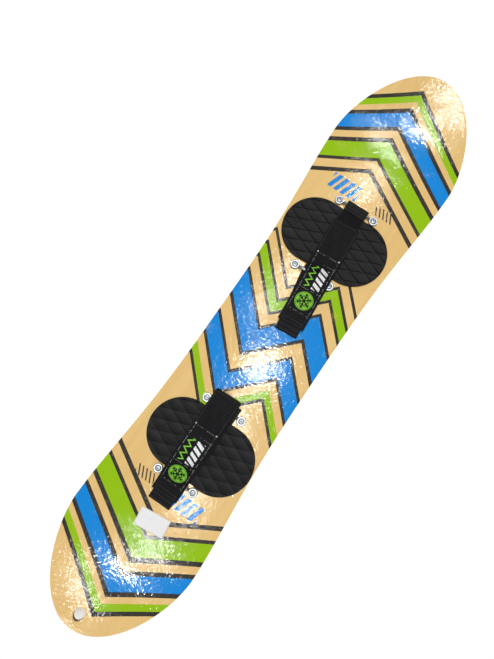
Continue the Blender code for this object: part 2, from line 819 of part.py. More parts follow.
def flap_route(binding):
    """From the seam by the fold, over the cinch bar and the web, as far as the flap could reach."""
    crest = binding["crest"] + stack_height()
    reach = binding["fold_reach"] - SEAM_REACH
    low = upper_height() + (WEB_THICKNESS + FLAP_THICKNESS) / 2 + FIT_GAP
    over_bar = BAR_HEIGHT + ROD_RADIUS + FLAP_THICKNESS / 2 + BAR_SLACK
    over_loop = BAR_HEIGHT + ROD_RADIUS + LOOP_SLACK + stack_height() + BAR_SLACK
    along, up = FLAP_RISE_SHARES
    places = [
        (BAIL_REACH + reach, low),
        (BAIL_REACH + along * reach, low + up * (over_bar - low)),
        (BAIL_REACH, over_bar + FIT_GAP),
    ]
    places += [(out * BAIL_REACH, rise * crest) for out, rise in FLAP_ARCH_SHARES]
    places.append((-BAIL_REACH, over_loop + WEB_THICKNESS / 2))
    places += [(-out * BAIL_REACH, over_loop - drop * WEB_THICKNESS) for out, drop in FLAP_END_SHARES]
    return smooth_route([placed(x, z, flap_lateral(binding, x)) for x, z in places])


def fold_route(binding):
    """Half a turn of the web between its lower leg and its upper leg."""
    x = fold_x(binding)
    start = x - FOLD_CLEAR + FIT_GAP
    middle = web_height() + FOLD_RADIUS
    rows = [placed(start, middle - FOLD_RADIUS, web_lateral(binding, start))]
    for step in range(FOLD_STEPS + 1):
        angle = math.pi * (step / FOLD_STEPS - 0.5)
        out, up = FOLD_RADIUS * math.cos(angle), FOLD_RADIUS * math.sin(angle)
        rows.append(placed(x + out, middle + up, flap_lateral(binding, x)))
    rows.append(placed(start, middle + FOLD_RADIUS, flap_lateral(binding, start)))
    return smooth_route(rows)


def turnback_route(binding):
    rows = []
    for reach in (FOLD_CLEAR, SEAM_REACH, TURNBACK_LENGTH):
        x = fold_x(binding) - reach
        rows.append(placed(x, upper_height(), flap_lateral(binding, x)))
    return smooth_route(rows)


def make_strap(side, binding, base):
    """The strap's fixed layers hang on the binding, and its flap turns about the fold."""
    still = Matrix.Identity(4)
    web = web_route(binding)
    web_length = lengths_along(web)[-1]
    ribbon(side + "_web", stretch_of(web, 0.0, web_length - FOLD_CLEAR), WEB_WIDTH,
           WEB_THICKNESS, "black_webbing", base, still)
    lift = (WEB_THICKNESS + TAPE_THICKNESS) / 2 + FIT_GAP
    tape = raised(stretch_of(web, loop_tape_start(web), LOOP_TAPE_LENGTH), lift)
    ribbon(side + "_loop_tape", tape, TAPE_WIDTH, TAPE_THICKNESS, "loop_pile", base, still)
    ribbon(side + "_fold", fold_route(binding), WEB_WIDTH, WEB_THICKNESS, "black_webbing",
           base, still)
    hinge_turn = math.atan(binding["skew"])
    hinge_place = (fold_x(binding), binding["fold_shift"], web_height() + FOLD_RADIUS)
    hinge = add_empty(side + "_flap_hinge", hinge_place, hinge_turn, base)
    into = (Matrix.Translation(hinge_place) @ Matrix.Rotation(hinge_turn, 4, "Z")).inverted()
    ribbon(side + "_turnback", turnback_route(binding), WEB_WIDTH, WEB_THICKNESS,
           "black_webbing", hinge, into)
    flap = stretch_of(flap_route(binding), 0.0, FLAP_LENGTH)
    ribbon(side + "_flap", flap, FLAP_WIDTH, FLAP_THICKNESS, "black_webbing", hinge, into)
    hook_start = FLAP_LENGTH - END_INSET - HOOK_TAPE_LENGTH
    hook_drop = (FLAP_THICKNESS + TAPE_THICKNESS) / 2 + FIT_GAP
    hooks = raised(stretch_of(flap, hook_start, HOOK_TAPE_LENGTH), hook_drop)
    ribbon(side + "_hook_tape", hooks, TAPE_WIDTH, TAPE_THICKNESS, "hook_nylon", hinge, into)
    label_lift = (FLAP_THICKNESS + LABEL_THICKNESS) / 2 + FIT_GAP
    label = raised(stretch_of(flap, LABEL_INSET, LABEL_LENGTH), -label_lift)
    ribbon(side + "_label", label, LABEL_WIDTH, LABEL_THICKNESS, "label_cloth", hinge, into)


def loop_tape_start(web):
    """The tape starts just past the sewn tail, on the leg that runs on over the pad."""
    tail = -BAIL_REACH + TAIL_REACH + 2 * END_INSET
    run = lengths_along(web)
    outermost = int(np.argmin(web[:, 0]))
    past = outermost + int(np.argmax(web[outermost:, 0] > tail))
    return run[past]


def make_binding(side, binding, meshes):
    base = add_empty(side + "_binding", (binding["x"], binding["y"], DECK_THICKNESS))
    pad_place = (binding["pad_reach"], binding["pad_shift"], FIT_GAP)
    turn = math.radians(binding["pad_turn"])
    add_piece(side + "_foot_pad", meshes["pad"], "black_rubber", base, pad_place, turn)
    for bail, along in (("anchor", -BAIL_REACH), ("cinch", BAIL_REACH)):
        name = side + "_" + bail
        add_piece(name + "_bail", meshes["bail"], "zinc_steel", base, (along, 0.0, 0.0))
        for hand, across in (("right", -SCREW_REACH), ("left", SCREW_REACH)):
            spot = name + "_" + hand
            place = Vector((along, across, -DECK_THICKNESS))
            washer = place + Vector((0.0, 0.0, washer_base()))
            head = place + Vector((0.0, 0.0, head_base()))
            add_piece(spot + "_washer", meshes["washer"], "zinc_steel", base, washer)
            add_piece(spot + "_screw", meshes["screw"], "zinc_steel", base, head)
            add_piece(spot + "_tee_nut", meshes["tee_nut"], "dull_steel", base, place)
    make_strap(side, binding, base)


clear_scene()
parts = new_collection(OBJECT_NAME, shown=True)
helpers = new_collection("cutters", shown=False)
make_deck()
shared = {
    "pad": make_pad_mesh(),
    "bail": make_bail_mesh(),
    "washer": make_washer_mesh(),
    "screw": make_screw_mesh(),
    "tee_nut": make_tee_nut_mesh(),
}
for binding_side, binding_sizes in BINDINGS.items():
    make_binding(binding_side, binding_sizes, shared)
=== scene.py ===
"""The looks of a child's wooden snowboard with two strap bindings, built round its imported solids."""

import math
from types import SimpleNamespace

import bmesh
import bpy
import numpy as np
from mathutils import Matrix, Vector


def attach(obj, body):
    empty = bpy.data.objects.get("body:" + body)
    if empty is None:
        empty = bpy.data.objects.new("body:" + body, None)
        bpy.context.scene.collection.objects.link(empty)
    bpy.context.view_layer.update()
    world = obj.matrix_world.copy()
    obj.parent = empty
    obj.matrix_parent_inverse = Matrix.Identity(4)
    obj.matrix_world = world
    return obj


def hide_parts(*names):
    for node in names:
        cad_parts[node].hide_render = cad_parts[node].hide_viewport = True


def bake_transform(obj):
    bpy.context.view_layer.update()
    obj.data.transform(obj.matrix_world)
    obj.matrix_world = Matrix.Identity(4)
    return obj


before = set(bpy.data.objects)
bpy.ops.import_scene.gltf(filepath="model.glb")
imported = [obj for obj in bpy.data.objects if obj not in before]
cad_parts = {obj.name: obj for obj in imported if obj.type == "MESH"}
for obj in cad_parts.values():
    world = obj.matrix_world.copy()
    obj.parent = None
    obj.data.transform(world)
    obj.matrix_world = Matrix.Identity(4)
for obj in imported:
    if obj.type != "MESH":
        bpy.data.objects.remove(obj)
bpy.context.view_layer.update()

# Camera, fitted to the photograph. Its axes are given in the object's frame.
CAMERA_PLACE = Vector((0.09161668, 0.03350216, 0.8772636))
CAMERA_RIGHT = (-0.567766, 0.823066, -0.014570)
CAMERA_UP = (-0.817239, -0.561445, 0.130032)
CAMERA_BACK = (0.098844, 0.085735, 0.991403)
CAMERA_LENS = 27.587
SENSOR_WIDTH = 36.0
CAMERA_NEAR = 0.01

# Deck. Lengths are in metres and angles in degrees. The deck's reach is half its length.
DECK_REACH = 0.5395
WAIST_WIDTH = 0.205
WIDEST_WIDTH = 0.2385
WIDEST_REACH = 0.394
DECK_THICKNESS = 0.009
FLAT_REACH = 0.360
TIP_LIFT = 0.053
TIP_ROW_REACH = 0.050
DECK_EDGE_ROUND = 0.0022
DECK_EDGE_STEPS = 5
DECK_EDGE_ANGLE = 50.0
WAIST_POWER = 1.7
TIP_POWER = 1.73
TIP_CROWDING_SHARE = 0.35
DECK_ROWS = 240
DECK_COLUMNS = 44
GRID_DIGITS = 6
DEPTH_ROUNDS = 8
CORD_HOLE_RADIUS = 0.008
CORD_HOLE_X = DECK_REACH - 0.018
# How far round the cord hole's mouth the painted shade of its wall reaches, and its blur.
HOLE_SHADE_REACH = 0.0003
HOLE_SHADE_BLUR = 0.0004
PLY_PITCH = 0.00258
PLY_SKIN = 0.0009
PLY_BLUR = 0.0003
FACE_BLUR = 0.0002
FIT_GAP = 0.0003
CUT_OVERRUN = 0.002

# Edges that turn by more than these angles are shaded sharp.
SHARP_ANGLE = 40.0
SMALL_SHARP_ANGLE = 50.0
DECK_SHARP_ANGLE = 35.0
PAD_SHARP_ANGLE = 60.0

# Foot pads.
PAD_LENGTH = 0.198
PAD_WIDTH = 0.1195
PAD_WAIST_DRAW = 0.0015
PAD_THICKNESS = 0.005
PAD_RIM_ROUND = 0.0013
PAD_FOOT = 0.0004
PAD_OUTLINE_POINTS = 420
PAD_RINGS = 78
PAD_RIM_RINGS = 5
TREAD_PITCH_LONG = 0.050
TREAD_PITCH_SHORT = 0.021
TREAD_DEPTH = 0.0012
TREAD_RIB_SHARE = 0.13
TREAD_WALL_SHARE = 0.10
# The depth and the painted light of the ramps: a middle value, its change with the lean, and the least.
TREAD_RAMP_SHARES = (0.30, 0.95, 0.04)
TREAD_LIGHT_SHARES = (0.62, 0.52, 0.10)
CREASE_WIDTH_SHARE = 0.10
# How far the creases are painted dark as shade, and how much painted light the pad's sides get.
CREASE_SHADE_SHARE = 0.95
PAD_SIDE_LIGHT_SHARE = 0.3
TREAD_MARGIN = 0.0028
TREAD_FADE = 0.0012

# Bails and their fasteners.
BAIL_CLEAR = 0.01125
BAIL_REACH = PAD_WIDTH / 2 + BAIL_CLEAR
SCREW_REACH = 0.0355
ROD_RADIUS = 0.0027
ROD_SIDES = 24
BAR_HEIGHT = 0.010
BAR_STRAIGHT_REACH = 0.0178
EYE_RADIUS = 0.0077
EYE_THICKNESS = 0.0024
NECK_RADIUS = 0.0030
NECK_START = 0.0062
NECK_LENGTH = 0.0050
EYE_INNER_SHARE = 0.7
EYE_SQUARE_POWER = 0.45
LEG_FOOT_REACH = 0.0096
LEG_TOE = 0.0012
LEG_SHARES = ((0.0, 0.0), (0.12, 0.03), (0.25, 0.20), (0.35, 0.46), (0.48, 0.74), (0.70, 0.94))
WASHER_RADIUS = 0.0081
WASHER_HEIGHT = 0.0030
WASHER_RIM_ROUND = 0.0012
WASHER_FLOOR = 0.0010
CUP_RADIUS = 0.0050
HEAD_RADIUS = 0.0045
HEAD_HEIGHT = 0.0030
HEAD_DOME = 0.0012
HEAD_DOME_SHARE = 0.93
HEAD_CHAMFER = 0.0003
HEAD_RINGS = 26
SCREW_STEPS = 96
SCREW_TURNS = (40.0, 70.0)
SHANK_RADIUS = 0.0025
SHANK_TIP_HEIGHT = 0.0012
SHANK_CHAMFER = 0.0005
DRIVE_REACH = 0.0019
DRIVE_HALF_WIDTH = 0.00055
DRIVE_DEPTH = 0.0016
DRIVE_WALL = 0.00025
DRIVE_RAMP = 0.0012
BARREL_RADIUS = 0.0038
BARREL_TOP = 0.0078
FLANGE_RADIUS = 0.0085
FLANGE_THICKNESS = 0.0014
FLANGE_ROUND = 0.0005
NUT_CHAMFER = 0.0004
ROUND_STEPS = 64
RIM_POINTS = 7
CUP_LIP_POINTS = 5
FLANGE_RIM_POINTS = 4
LEAST_SQUARE = 1e-8
BRIGHT_RIM_SHARE = 0.7
BRIGHT_HEAD_SHARE = 0.8
WASHER_BASE = DECK_THICKNESS + FIT_GAP + EYE_THICKNESS + FIT_GAP
HEAD_BASE = WASHER_BASE + WASHER_FLOOR + FIT_GAP
# Painted light and shade on the plating, by part: 1 keeps the full plated colour, and less paints shade into
# cups, recesses, sides and the parts that lie under others.
PAINTED_LIGHT_SHARES = {
    "cup_floor": 0.25, "cup_wall": 0.45, "washer_top": 1.0, "washer_side": 0.35, "head_edge": 0.05,
    "recess": 0.45, "head": 0.80, "bar": 1.0, "eye": 0.6, "flange": 1.0, "barrel": 0.5,
}

# Straps. Every thickness is that of one layer.
WEB_WIDTH = 0.0415
WEB_THICKNESS = 0.0018
FLAP_WIDTH = 0.0495
FLAP_THICKNESS = 0.0020
FLAP_LENGTH = 0.202
FLAP_CORNER = 0.0050
TAPE_WIDTH = 0.038
TAPE_THICKNESS = 0.0015
HOOK_TAPE_LENGTH = 0.098
LOOP_TAPE_LENGTH = 0.098
HOOK_CORNER = 0.0030
LABEL_LENGTH = 0.114
LABEL_WIDTH = 0.044
LABEL_THICKNESS = 0.0006
LABEL_INSET = 0.022
TAIL_REACH = 0.0135
LOOP_SLACK = 0.0006
LOOP_DROP = 0.0044
CINCH_PASS_HEIGHT = 0.0017
BAR_SLACK = 0.0006
FOLD_RADIUS = 0.0034
FOLD_CLEAR = 0.0045
TURNBACK_LENGTH = 0.028
WEB_HEIGHT = FIT_GAP + WEB_THICKNESS / 2
UPPER_HEIGHT = WEB_HEIGHT + 2 * FOLD_RADIUS
STACK_HEIGHT = (WEB_THICKNESS + FLAP_THICKNESS) / 2 + 2 * TAPE_THICKNESS + 3 * FIT_GAP
SEAM_REACH = 0.0125
END_INSET = 0.002
WEB_ARCH_SHARES = ((-0.56, 0.60), (-0.26, 0.87), (0.10, 1.0), (0.40, 0.88), (0.60, 0.63), (0.74, 0.40))
FLAP_ARCH_SHARES = (
    (0.80, 0.64), (0.60, 0.80), (0.40, 0.925), (0.10, 1.0), (-0.26, 0.91), (-0.56, 0.735),
)
LOOP_OVER_SHARES = ((0.10, 1.0), (0.75, 0.62))
LOOP_UNDER_SHARES = ((0.75, 0.66), (0.05, 1.0))
TAIL_OVER_BAR_SHARE = 0.40
LOWER_LEG_SHARES = (0.25, 0.60)
FLAP_RISE_SHARES = (0.55, 0.25)
FLAP_END_SHARES = ((1.22, 0.5), (1.60, 3.0))
ROUTE_STEP = 0.0004
ROW_STEP = 0.0011
FOLD_STEPS = 16
SECTION_POINTS = 17
SECTION_EDGE_POINTS = 5
SECTION_SOFT_SHARES = (0.45, 0.125)
STRAP_EDGE = 0.0005
END_THIN_SHARE = 0.55
CORNER_ANGLE_STEP = 8.0
STITCH_LENGTH = 0.0024
STITCH_GAP = 0.0009
STITCH_RADIUS = 0.00034
STITCH_SIDES = 8
STITCH_SHARES = ((0.0, 0.35), (0.15, 0.85), (0.5, 1.0), (0.85, 0.85), (1.0, 0.35))
STITCH_SINK_SHARE = 0.6
STITCH_PROBE = 0.01
SEAM_STITCH_START = 0.0022
SEAM_STITCH_PAST = 0.0010
SEAM_STITCH_REACH = 0.0185
END_STITCH_INSET = 0.0045
END_STITCH_REACH = 0.0200
SIDE_STITCH_REACH = 0.0215
LABEL_STITCH_INSETS = (0.0014, 0.0016)

# Both bindings: their place, and how each pad and strap is turned, bent and shifted.
BINDINGS = {
    "front": SimpleNamespace(
        x=0.2106, y=0.0042, pad_turn=-1.0, pad_reach=0.0020, pad_shift=0.0027, bulge=0.0150, crest=0.0300,
        fold_reach=0.0410, loop_shift=0.0045, anchor_shift=0.0008, arch_shift=0.0045, cinch_shift=0.0008,
        fold_shift=-0.0016, skew=0.018,
    ),
    "rear": SimpleNamespace(
        x=-0.2085, y=-0.0021, pad_turn=1.2, pad_reach=-0.0020, pad_shift=-0.0016, bulge=0.0058, crest=0.0335,
        fold_reach=0.1065, loop_shift=0.0006, anchor_shift=0.0004, arch_shift=0.0020, cinch_shift=0.0008,
        fold_shift=0.0185, skew=0.083,
    ),
}

# Blank price sticker, just past the front strap's fold.
STICKER_CENTRE = (0.3595, 0.0118)
STICKER_LENGTH = 0.0550
STICKER_WIDTH = 0.0320
STICKER_TURN = 6.8
STICKER_CORNER = 0.0030
STICKER_THICKNESS = 0.00022
STICKER_COLUMNS = 24
STICKER_ROWS = 14

# Colours, as linear values.
BIRCH = (0.90, 0.590, 0.215)
BIRCH_DARK = (0.68, 0.40, 0.120)
BIRCH_PALE = (0.93, 0.70, 0.33)
LIME = (0.32, 0.58, 0.0)
BLUE = (0.0, 0.262, 0.76)
CHARCOAL = (0.022, 0.022, 0.023)
RUBBER = (0.0006, 0.0006, 0.0008)
# A lighter rubber, reached where the dust and the painted light on the tread come together.
RUBBER_LIT_AND_DUSTY = (0.034, 0.034, 0.037)
NYLON = (0.0030, 0.0030, 0.0035)
NYLON_HIGH = (0.030, 0.030, 0.033)
THREAD = (0.022, 0.022, 0.025)
THREAD_DARK = (0.011, 0.011, 0.0125)
PRINT_WHITE = (0.92, 0.93, 0.94)
PRINT_GREEN = (0.25, 0.63, 0.055)
# A dark brown painted as shade into the cord hole.
HOLE_SHADE = (0.10, 0.055, 0.020)
PAPER = (0.86, 0.87, 0.87)
PAPER_DULLED = (0.76, 0.76, 0.75)
ZINC = (0.36, 0.38, 0.395)
ZINC_DULLED = (0.30, 0.32, 0.335)
# The colour that the zinc parts are darkened to where shade is painted into them.
METAL_PAINTED_SHADE = (0.15, 0.165, 0.18)
DULL_ZINC = (0.45, 0.46, 0.48)
DULL_ZINC_DULLED = (0.34, 0.35, 0.36)
ZINC_ROUGHNESS = 0.42

# Print on the deck. A band is a width and a colour, or None where the wood stays bare.
PRINT_BLUR = 0.0008
BAND_MARGIN_SHARE = 0.01
CLEAR = (0.0, 0.0, 0.0, 0.0)
CHEVRON_START = 0.352
CHEVRON_SLANT = 0.58
NOSE_PEAK = 0.018
TAIL_PEAK = -0.022
CHEVRON_BANDS = (
    (0.009, CHARCOAL), (0.018, None), (0.007, CHARCOAL), (0.034, LIME), (0.009, CHARCOAL),
    (0.014, None), (0.008, CHARCOAL), (0.026, BLUE), (0.008, CHARCOAL), (0.010, None),
    (0.012, LIME), (0.007, CHARCOAL),
)
ZIGZAG_START = -0.100
ZIGZAG_PEAK = -0.026
ZIGZAG_PITCH = 0.150
ZIGZAG_REACH = 0.078
ZIGZAG_BANDS = (
    (0.008, CHARCOAL), (0.020, None), (0.008, CHARCOAL), (0.020, LIME), (0.008, CHARCOAL),
    (0.022, None), (0.008, CHARCOAL), (0.046, BLUE), (0.009, CHARCOAL), (0.028, None),
    (0.008, CHARCOAL), (0.036, BLUE), (0.008, CHARCOAL), (0.018, None), (0.016, LIME),
    (0.008, CHARCOAL),
)
# Rows of bars and ticks: colour, limits along and across, slant, pitch, inked share and blur.
BAR_ROWS = (
    (BLUE, (0.293, 0.322), (0.014, 0.072), 0.35, 0.0132, 0.62, 0.12),
    (CHARCOAL, (0.293, 0.311), (-0.062, -0.024), -0.50, 0.0074, 0.36, 0.20),
)

# Print on the labels, along from the end by the fold and across from the middle. A row of dashes is
# its place and strength. The star's arm is half its width and its length, and a barb has a place too.
LABEL_BLUR = 0.0003
DASH_PITCH = 0.0036
DASH_INSETS = (0.0018, 0.0025)
DASH_ROWS = ((0.0445, 0.5), (0.0960, 0.4), (0.1105, 0.45), (0.0030, 0.5))
DASH_THICKNESS = 0.0006
DOT_PLACE = (LABEL_LENGTH - 0.0016, 0.0202)
DOT_RADIUS = 0.0012
BLOCK_LIMITS = (0.0485, 0.0900)
LABEL_BARS_TOP = 0.0145
LABEL_BARS_PITCH = 0.0098
LABEL_BARS_SLANT = 0.42
LABEL_ZIGZAG_PITCH = 0.0118
LABEL_ZIGZAG_HEIGHT = 0.0095
LABEL_ZIGZAG_SHIFT = 0.0150
LABEL_ZIGZAG_HALF = 0.0019
DISC_CENTRE = (0.0245, 0.0005)
DISC_RADIUS = 0.0163
STAR_ARM = (0.0011, 0.0135)
STAR_BARBS = ((0.0050, 0.0011, 0.0042), (0.0090, 0.0010, 0.0034))
STAR_BARB_SLANT = 0.9
STAR_RING = (0.0146, 0.0152)
LABEL_THREAD_PITCHES = (0.0007, 0.0006)

# Weaves: the pitch of the columns and of the rows, and the ribs' share, which sets their relief and a
# painted sheen on them. Piles: a scale and a depth.
WEB_WEAVE = (0.0016, 0.0028, 0.60)
FLAP_WEAVE = (0.0012, 0.0030, 0.12)
LOOP_PILE = (2400.0, 0.0005)
HOOK_PILE = (1500.0, 0.0006)
RIB_INSETS = (0.0014, 0.0021)
RIB_BLUR = 0.0004

# Reliefs that are too fine for the meshes, as depths.
LACQUER_RELIEF = 0.00025
GRAIN_RELIEF = 0.00006
RUBBER_RELIEF = 0.00005
PLATING_RELIEF = 0.00004
WEAVE_RELIEF = 0.00022
PRINT_RELIEF = 0.00006
THREAD_RELIEF = 0.00008
PAPER_RELIEF = 0.0003

# Light. Each lamp hangs where the deck mirrors it to the camera, at x and y. A share of the power
# and a size follow.
LAMP_HEIGHT = 4.5
LAMP_POWER = 41.0
LAMP_SPOTS = (
    (-0.540, 0.046, 0.36, 0.22), (-0.524, 0.018, 0.42, 0.22), (-0.506, 0.052, 0.42, 0.22),
    (-0.488, 0.022, 0.42, 0.22), (-0.325, -0.010, 0.38, 0.22), (0.044, 0.016, 1.10, 0.25),
    (0.506, -0.006, 0.34, 0.22), (0.490, -0.030, 0.34, 0.22), (0.468, -0.042, 0.24, 0.22),
)
WORLD_LIGHT = 0.15
FLOOR_SIZE = 14.0
FLOOR_DROP = 0.0004
FLOOR_COLOUR = (0.80, 0.80, 0.80)
WHITE = (1.0, 1.0, 1.0)
FLOOR_GLOW = 0.32
FLOOR_FADE_START = 0.75
FLOOR_FADE_WIDTH = 1.2


# Helpers


def with_settings(target, **settings):
    """The target, after its settings are set by their names."""
    for key, value in settings.items():
        setattr(target, key, value)
    return target


def held(share):
    """A share, or an array of them, held between 0 and 1."""
    return np.clip(share, 0.0, 1.0)


def eased(share):
    """From 0 to 1 with a soft start and finish."""
    return share * share * (3.0 - 2.0 * share)


def round_angles(count):
    """Even angles once round."""
    return np.linspace(0.0, 2 * math.pi, count, endpoint=False)


def headings(route):
    """Which way a route runs at each of its rows, along and up."""
    ahead = np.gradient(route[:, (0, 2)], axis=0)
    return ahead / np.linalg.norm(ahead, axis=1)[:, None]


# Materials


class Field:
    """A number that varies over a surface, on which sums read as sums."""

    def __init__(self, socket):
        self.socket = socket

    def op(self, kind, *others, clamped=False):
        node = self.socket.id_data.nodes.new("ShaderNodeMath")
        with_settings(node, operation=kind, use_clamp=clamped)
        for slot, value in zip(node.inputs, (self, *others)):
            feed(slot, value)
        return Field(node.outputs[0])

    def __add__(self, other):
        return self.op("ADD", other)

    def __sub__(self, other):
        return self.op("SUBTRACT", other)

    def __mul__(self, other):
        return self.op("MULTIPLY", other)

    def __truediv__(self, other):
        return self.op("DIVIDE", other)

    def __abs__(self):
        return self.op("ABSOLUTE")

    def or_(self, other):
        return self.op("MAXIMUM", other)

    def inverted(self):
        return self * -1.0 + 1.0

    def limited(self, factor=1.0):
        """The field times a factor, held between 0 and 1."""
        return self.op("MULTIPLY", factor, clamped=True)

    def below(self, limit, blur):
        """1 where the field is under the limit, 0 over it, and blur wide between."""
        return ((self - limit) / -blur + 0.5).limited()

    def within(self, low, high, blur):
        middle = (low + high) / 2
        return abs(self - middle).below((high - low) / 2, blur)

    def wave(self, pitch):
        """0 to 1 and back over one pitch."""
        return (self * (2.0 / pitch)).op("PINGPONG", 1.0)


def feed(slot, value):
    """Set a plain value or a colour in a node's slot, or link a field or another socket to it."""
    if isinstance(value, Field):
        value = value.socket
    if isinstance(value, bpy.types.NodeSocket):
        slot.id_data.links.new(value, slot)
    else:
        slot.default_value = (*value, 1.0) if slot.type == "RGBA" else value


class Stuff:
    """One material, and the calls that add nodes to it."""

    def __init__(self, name):
        self.material = bpy.data.materials.new(name)
        self.material.use_nodes = True
        self.tree = self.material.node_tree
        self.shader = self.tree.nodes["Principled BSDF"]

    def node(self, kind, inputs=(), **settings):
        """A new node with its settings, and with values or links by the names of its slots."""
        made = with_settings(self.tree.nodes.new(kind), **settings)
        for key, value in dict(inputs).items():
            feed(made.inputs[key], value)
        return made

    def axes(self, place):
        return [Field(out) for out in self.node("ShaderNodeSeparateXYZ", {0: place}).outputs]

    def joined(self, *parts):
        return self.node("ShaderNodeCombineXYZ", enumerate(parts)).outputs[0]

    def spot(self):
        return self.node("ShaderNodeTexCoord").outputs["Object"]

    def value(self, name):
        """A number that the mesh carries at its points."""
        return Field(self.node("ShaderNodeAttribute", attribute_name=name).outputs["Fac"])

    def weave(self):
        """What a strap's mesh carries: the way along it, across it and in from its edge."""
        return self.node("ShaderNodeAttribute", attribute_name="weave").outputs["Vector"]

    def distance(self, along, across, at, beside):
        run, off = along - at, across - beside
        return (run * run + off * off).op("SQRT")

    def noise(self, place, scale, detail=2.0, roughness=0.5, distortion=0.0):
        made = self.node("ShaderNodeTexNoise", {
            "Vector": place, "Scale": scale, "Detail": detail, "Roughness": roughness,
            "Distortion": distortion,
        })
        return Field(made.outputs[0])

    def mixed(self, share, first, second):
        """A colour between two, each a colour's values or another mixed colour."""
        return self.node("ShaderNodeMix", {0: share, 6: first, 7: second}, data_type="RGBA").outputs[2]

    def bands(self, field, start, widths):
        """Bands of colour along a field from start: each a width and a colour, or None for bare."""
        total = sum(width for width, colour in widths)
        at = BAND_MARGIN_SHARE
        used = (1.0 - 2 * at) / total
        ramp = self.node("ShaderNodeValToRGB", {0: (field - start) * used + at})
        ramp.color_ramp.interpolation = "CONSTANT"
        stops = ramp.color_ramp.elements
        stops[0].color = CLEAR
        stops.remove(stops[1])
        for width, colour in (*widths, (0.0, None)):
            stops.new(at).color = (*colour, 1.0) if colour else CLEAR
            at += width * used
        return ramp.outputs["Color"], Field(ramp.outputs["Alpha"])

    def bump(self, height, relief, target="Normal"):
        made = self.node("ShaderNodeBump", {"Strength": 1.0, "Distance": relief, "Height": height})
        feed(self.shader.inputs[target], made.outputs[0])

    def settings(self, **values):
        for key, value in values.items():
            feed(self.shader.inputs[key.replace("_", " ")], value)

    def finished(self, colour, height, relief, **values):
        """The material, with its colour, its fine relief and the shader's other values."""
        self.bump(height, relief)
        self.settings(Base_Color=colour, **values)
        return self.material


def printed_on(stuff, x, y, wood):
    """The wood with chevrons at both ends, a zigzag between them, and rows of bars and ticks."""
    nose = stuff.bands(x + abs(y - NOSE_PEAK) * CHEVRON_SLANT, CHEVRON_START, CHEVRON_BANDS)
    tail = stuff.bands(abs(y - TAIL_PEAK) * CHEVRON_SLANT - x, CHEVRON_START, CHEVRON_BANDS)
    zigzag = (y - ZIGZAG_PEAK).wave(ZIGZAG_PITCH) * ZIGZAG_REACH
    printed = wood
    for colour, share in (nose, tail, stuff.bands(x + zigzag, ZIGZAG_START, ZIGZAG_BANDS)):
        printed = stuff.mixed(share, printed, colour)
    for side in (-1.0, 1.0):
        for colour, along, across, slant, pitch, inked, blur in BAR_ROWS:
            row = (x * side).within(*along, PRINT_BLUR) * (y * side).within(*across, PRINT_BLUR)
            bars = row * ((y + x * slant) * side).wave(pitch).below(inked, blur)
            printed = stuff.mixed(bars, printed, colour)
    return printed


def deck_stuff():
    stuff = Stuff("lacquered_birch")
    place = stuff.spot()
    x, y, z = stuff.axes(place)
    depth = stuff.value("depth")
    grain = stuff.noise(stuff.joined(x * 2.6, y * 62.0, depth * 40.0), 1.0, 5.0, 0.62, 0.35)
    figure = stuff.noise(stuff.joined(x * 5.0, y * 11.0, depth), 1.0, 2.0, 0.5, 0.6)
    fibre = stuff.noise(stuff.joined(x * 38.0, y * 640.0, depth * 300.0), 1.0, 2.0, 0.6)
    tone = (grain - 0.5) * 1.3 + (figure - 0.5) * 0.9 + (fibre - 0.5) * 0.35 + 0.42
    wood = stuff.mixed(0.55, stuff.mixed(tone.limited(), BIRCH_PALE, BIRCH_DARK), BIRCH)

    printed = printed_on(stuff, x, y, wood)
    dark = Field(stuff.node("ShaderNodeRGBToBW", {0: printed}).outputs[0]).below(0.06, 0.05)
    scuff = stuff.noise(place, 900.0, 2.0, 0.6)
    patchy = stuff.noise(place, 26.0, 3.0, 0.6)
    chips = (scuff * 0.75 + patchy * 0.5 - 0.79).limited(40.0)
    hair = stuff.noise(stuff.joined(x * 9.0 + y * 4.0, y * 420.0 - x * 60.0, z), 1.0, 3.0, 0.7)
    hairs = hair.within(0.497, 0.503, 0.006) * patchy.below(0.47, 0.1) * 0.10
    speckle = stuff.noise(stuff.joined(x * 0.5, y, z), 1300.0, 2.0, 0.65)
    show_through = dark * ((speckle - 0.50) * 0.55 + (grain - 0.5) * 0.15 + (fibre - 0.5) * 0.12)
    kept = chips.or_(hairs).inverted() * show_through.limited().inverted()
    top = stuff.mixed(kept, wood, printed)

    ply = (depth / PLY_PITCH).op("FRACT").within(0.25, 0.75, 0.06)
    end_grain = stuff.noise(stuff.joined(x * 160.0, y * 160.0, depth * 1200.0), 1.0, 3.0, 0.6)
    edge = stuff.mixed(ply * 0.75, BIRCH, BIRCH_DARK)
    edge = stuff.mixed(end_grain.within(0.56, 0.9, 0.1) * 0.35, edge, BIRCH_DARK)
    on_edge = depth.within(PLY_SKIN, DECK_THICKNESS - PLY_SKIN, PLY_BLUR)
    upper = depth.below(DECK_THICKNESS / 2, FACE_BLUR)
    bare = stuff.mixed(on_edge, stuff.mixed(upper, wood, top), edge)
    # Painted shade: the cord hole's wall and a thin ring round its mouth are darkened.
    off_hole = stuff.distance(x, y, CORD_HOLE_X, 0.0)
    hole_shade = off_hole.below(CORD_HOLE_RADIUS + HOLE_SHADE_REACH, HOLE_SHADE_BLUR)

    ripple = stuff.noise(stuff.joined(x * 1.25, y * 0.85, z), 165.0, 2.0, 0.5, 0.6)
    swell = stuff.noise(place, 45.0, 1.0, 0.5)
    stuff.bump(ripple * 0.8 + swell * 0.7, LACQUER_RELIEF, "Coat Normal")
    stuff.settings(Coat_Roughness=0.09, Coat_Weight=1.0, Coat_IOR=1.25)
    rubbed = stuff.noise(place, 60.0, 4.0, 0.6)
    return stuff.finished(stuff.mixed(hole_shade, bare, HOLE_SHADE), grain * 0.4 + fibre * 0.5, GRAIN_RELIEF,
                          Roughness=(rubbed - 0.5) * 0.25 + 0.45, Specular_IOR_Level=0.0)


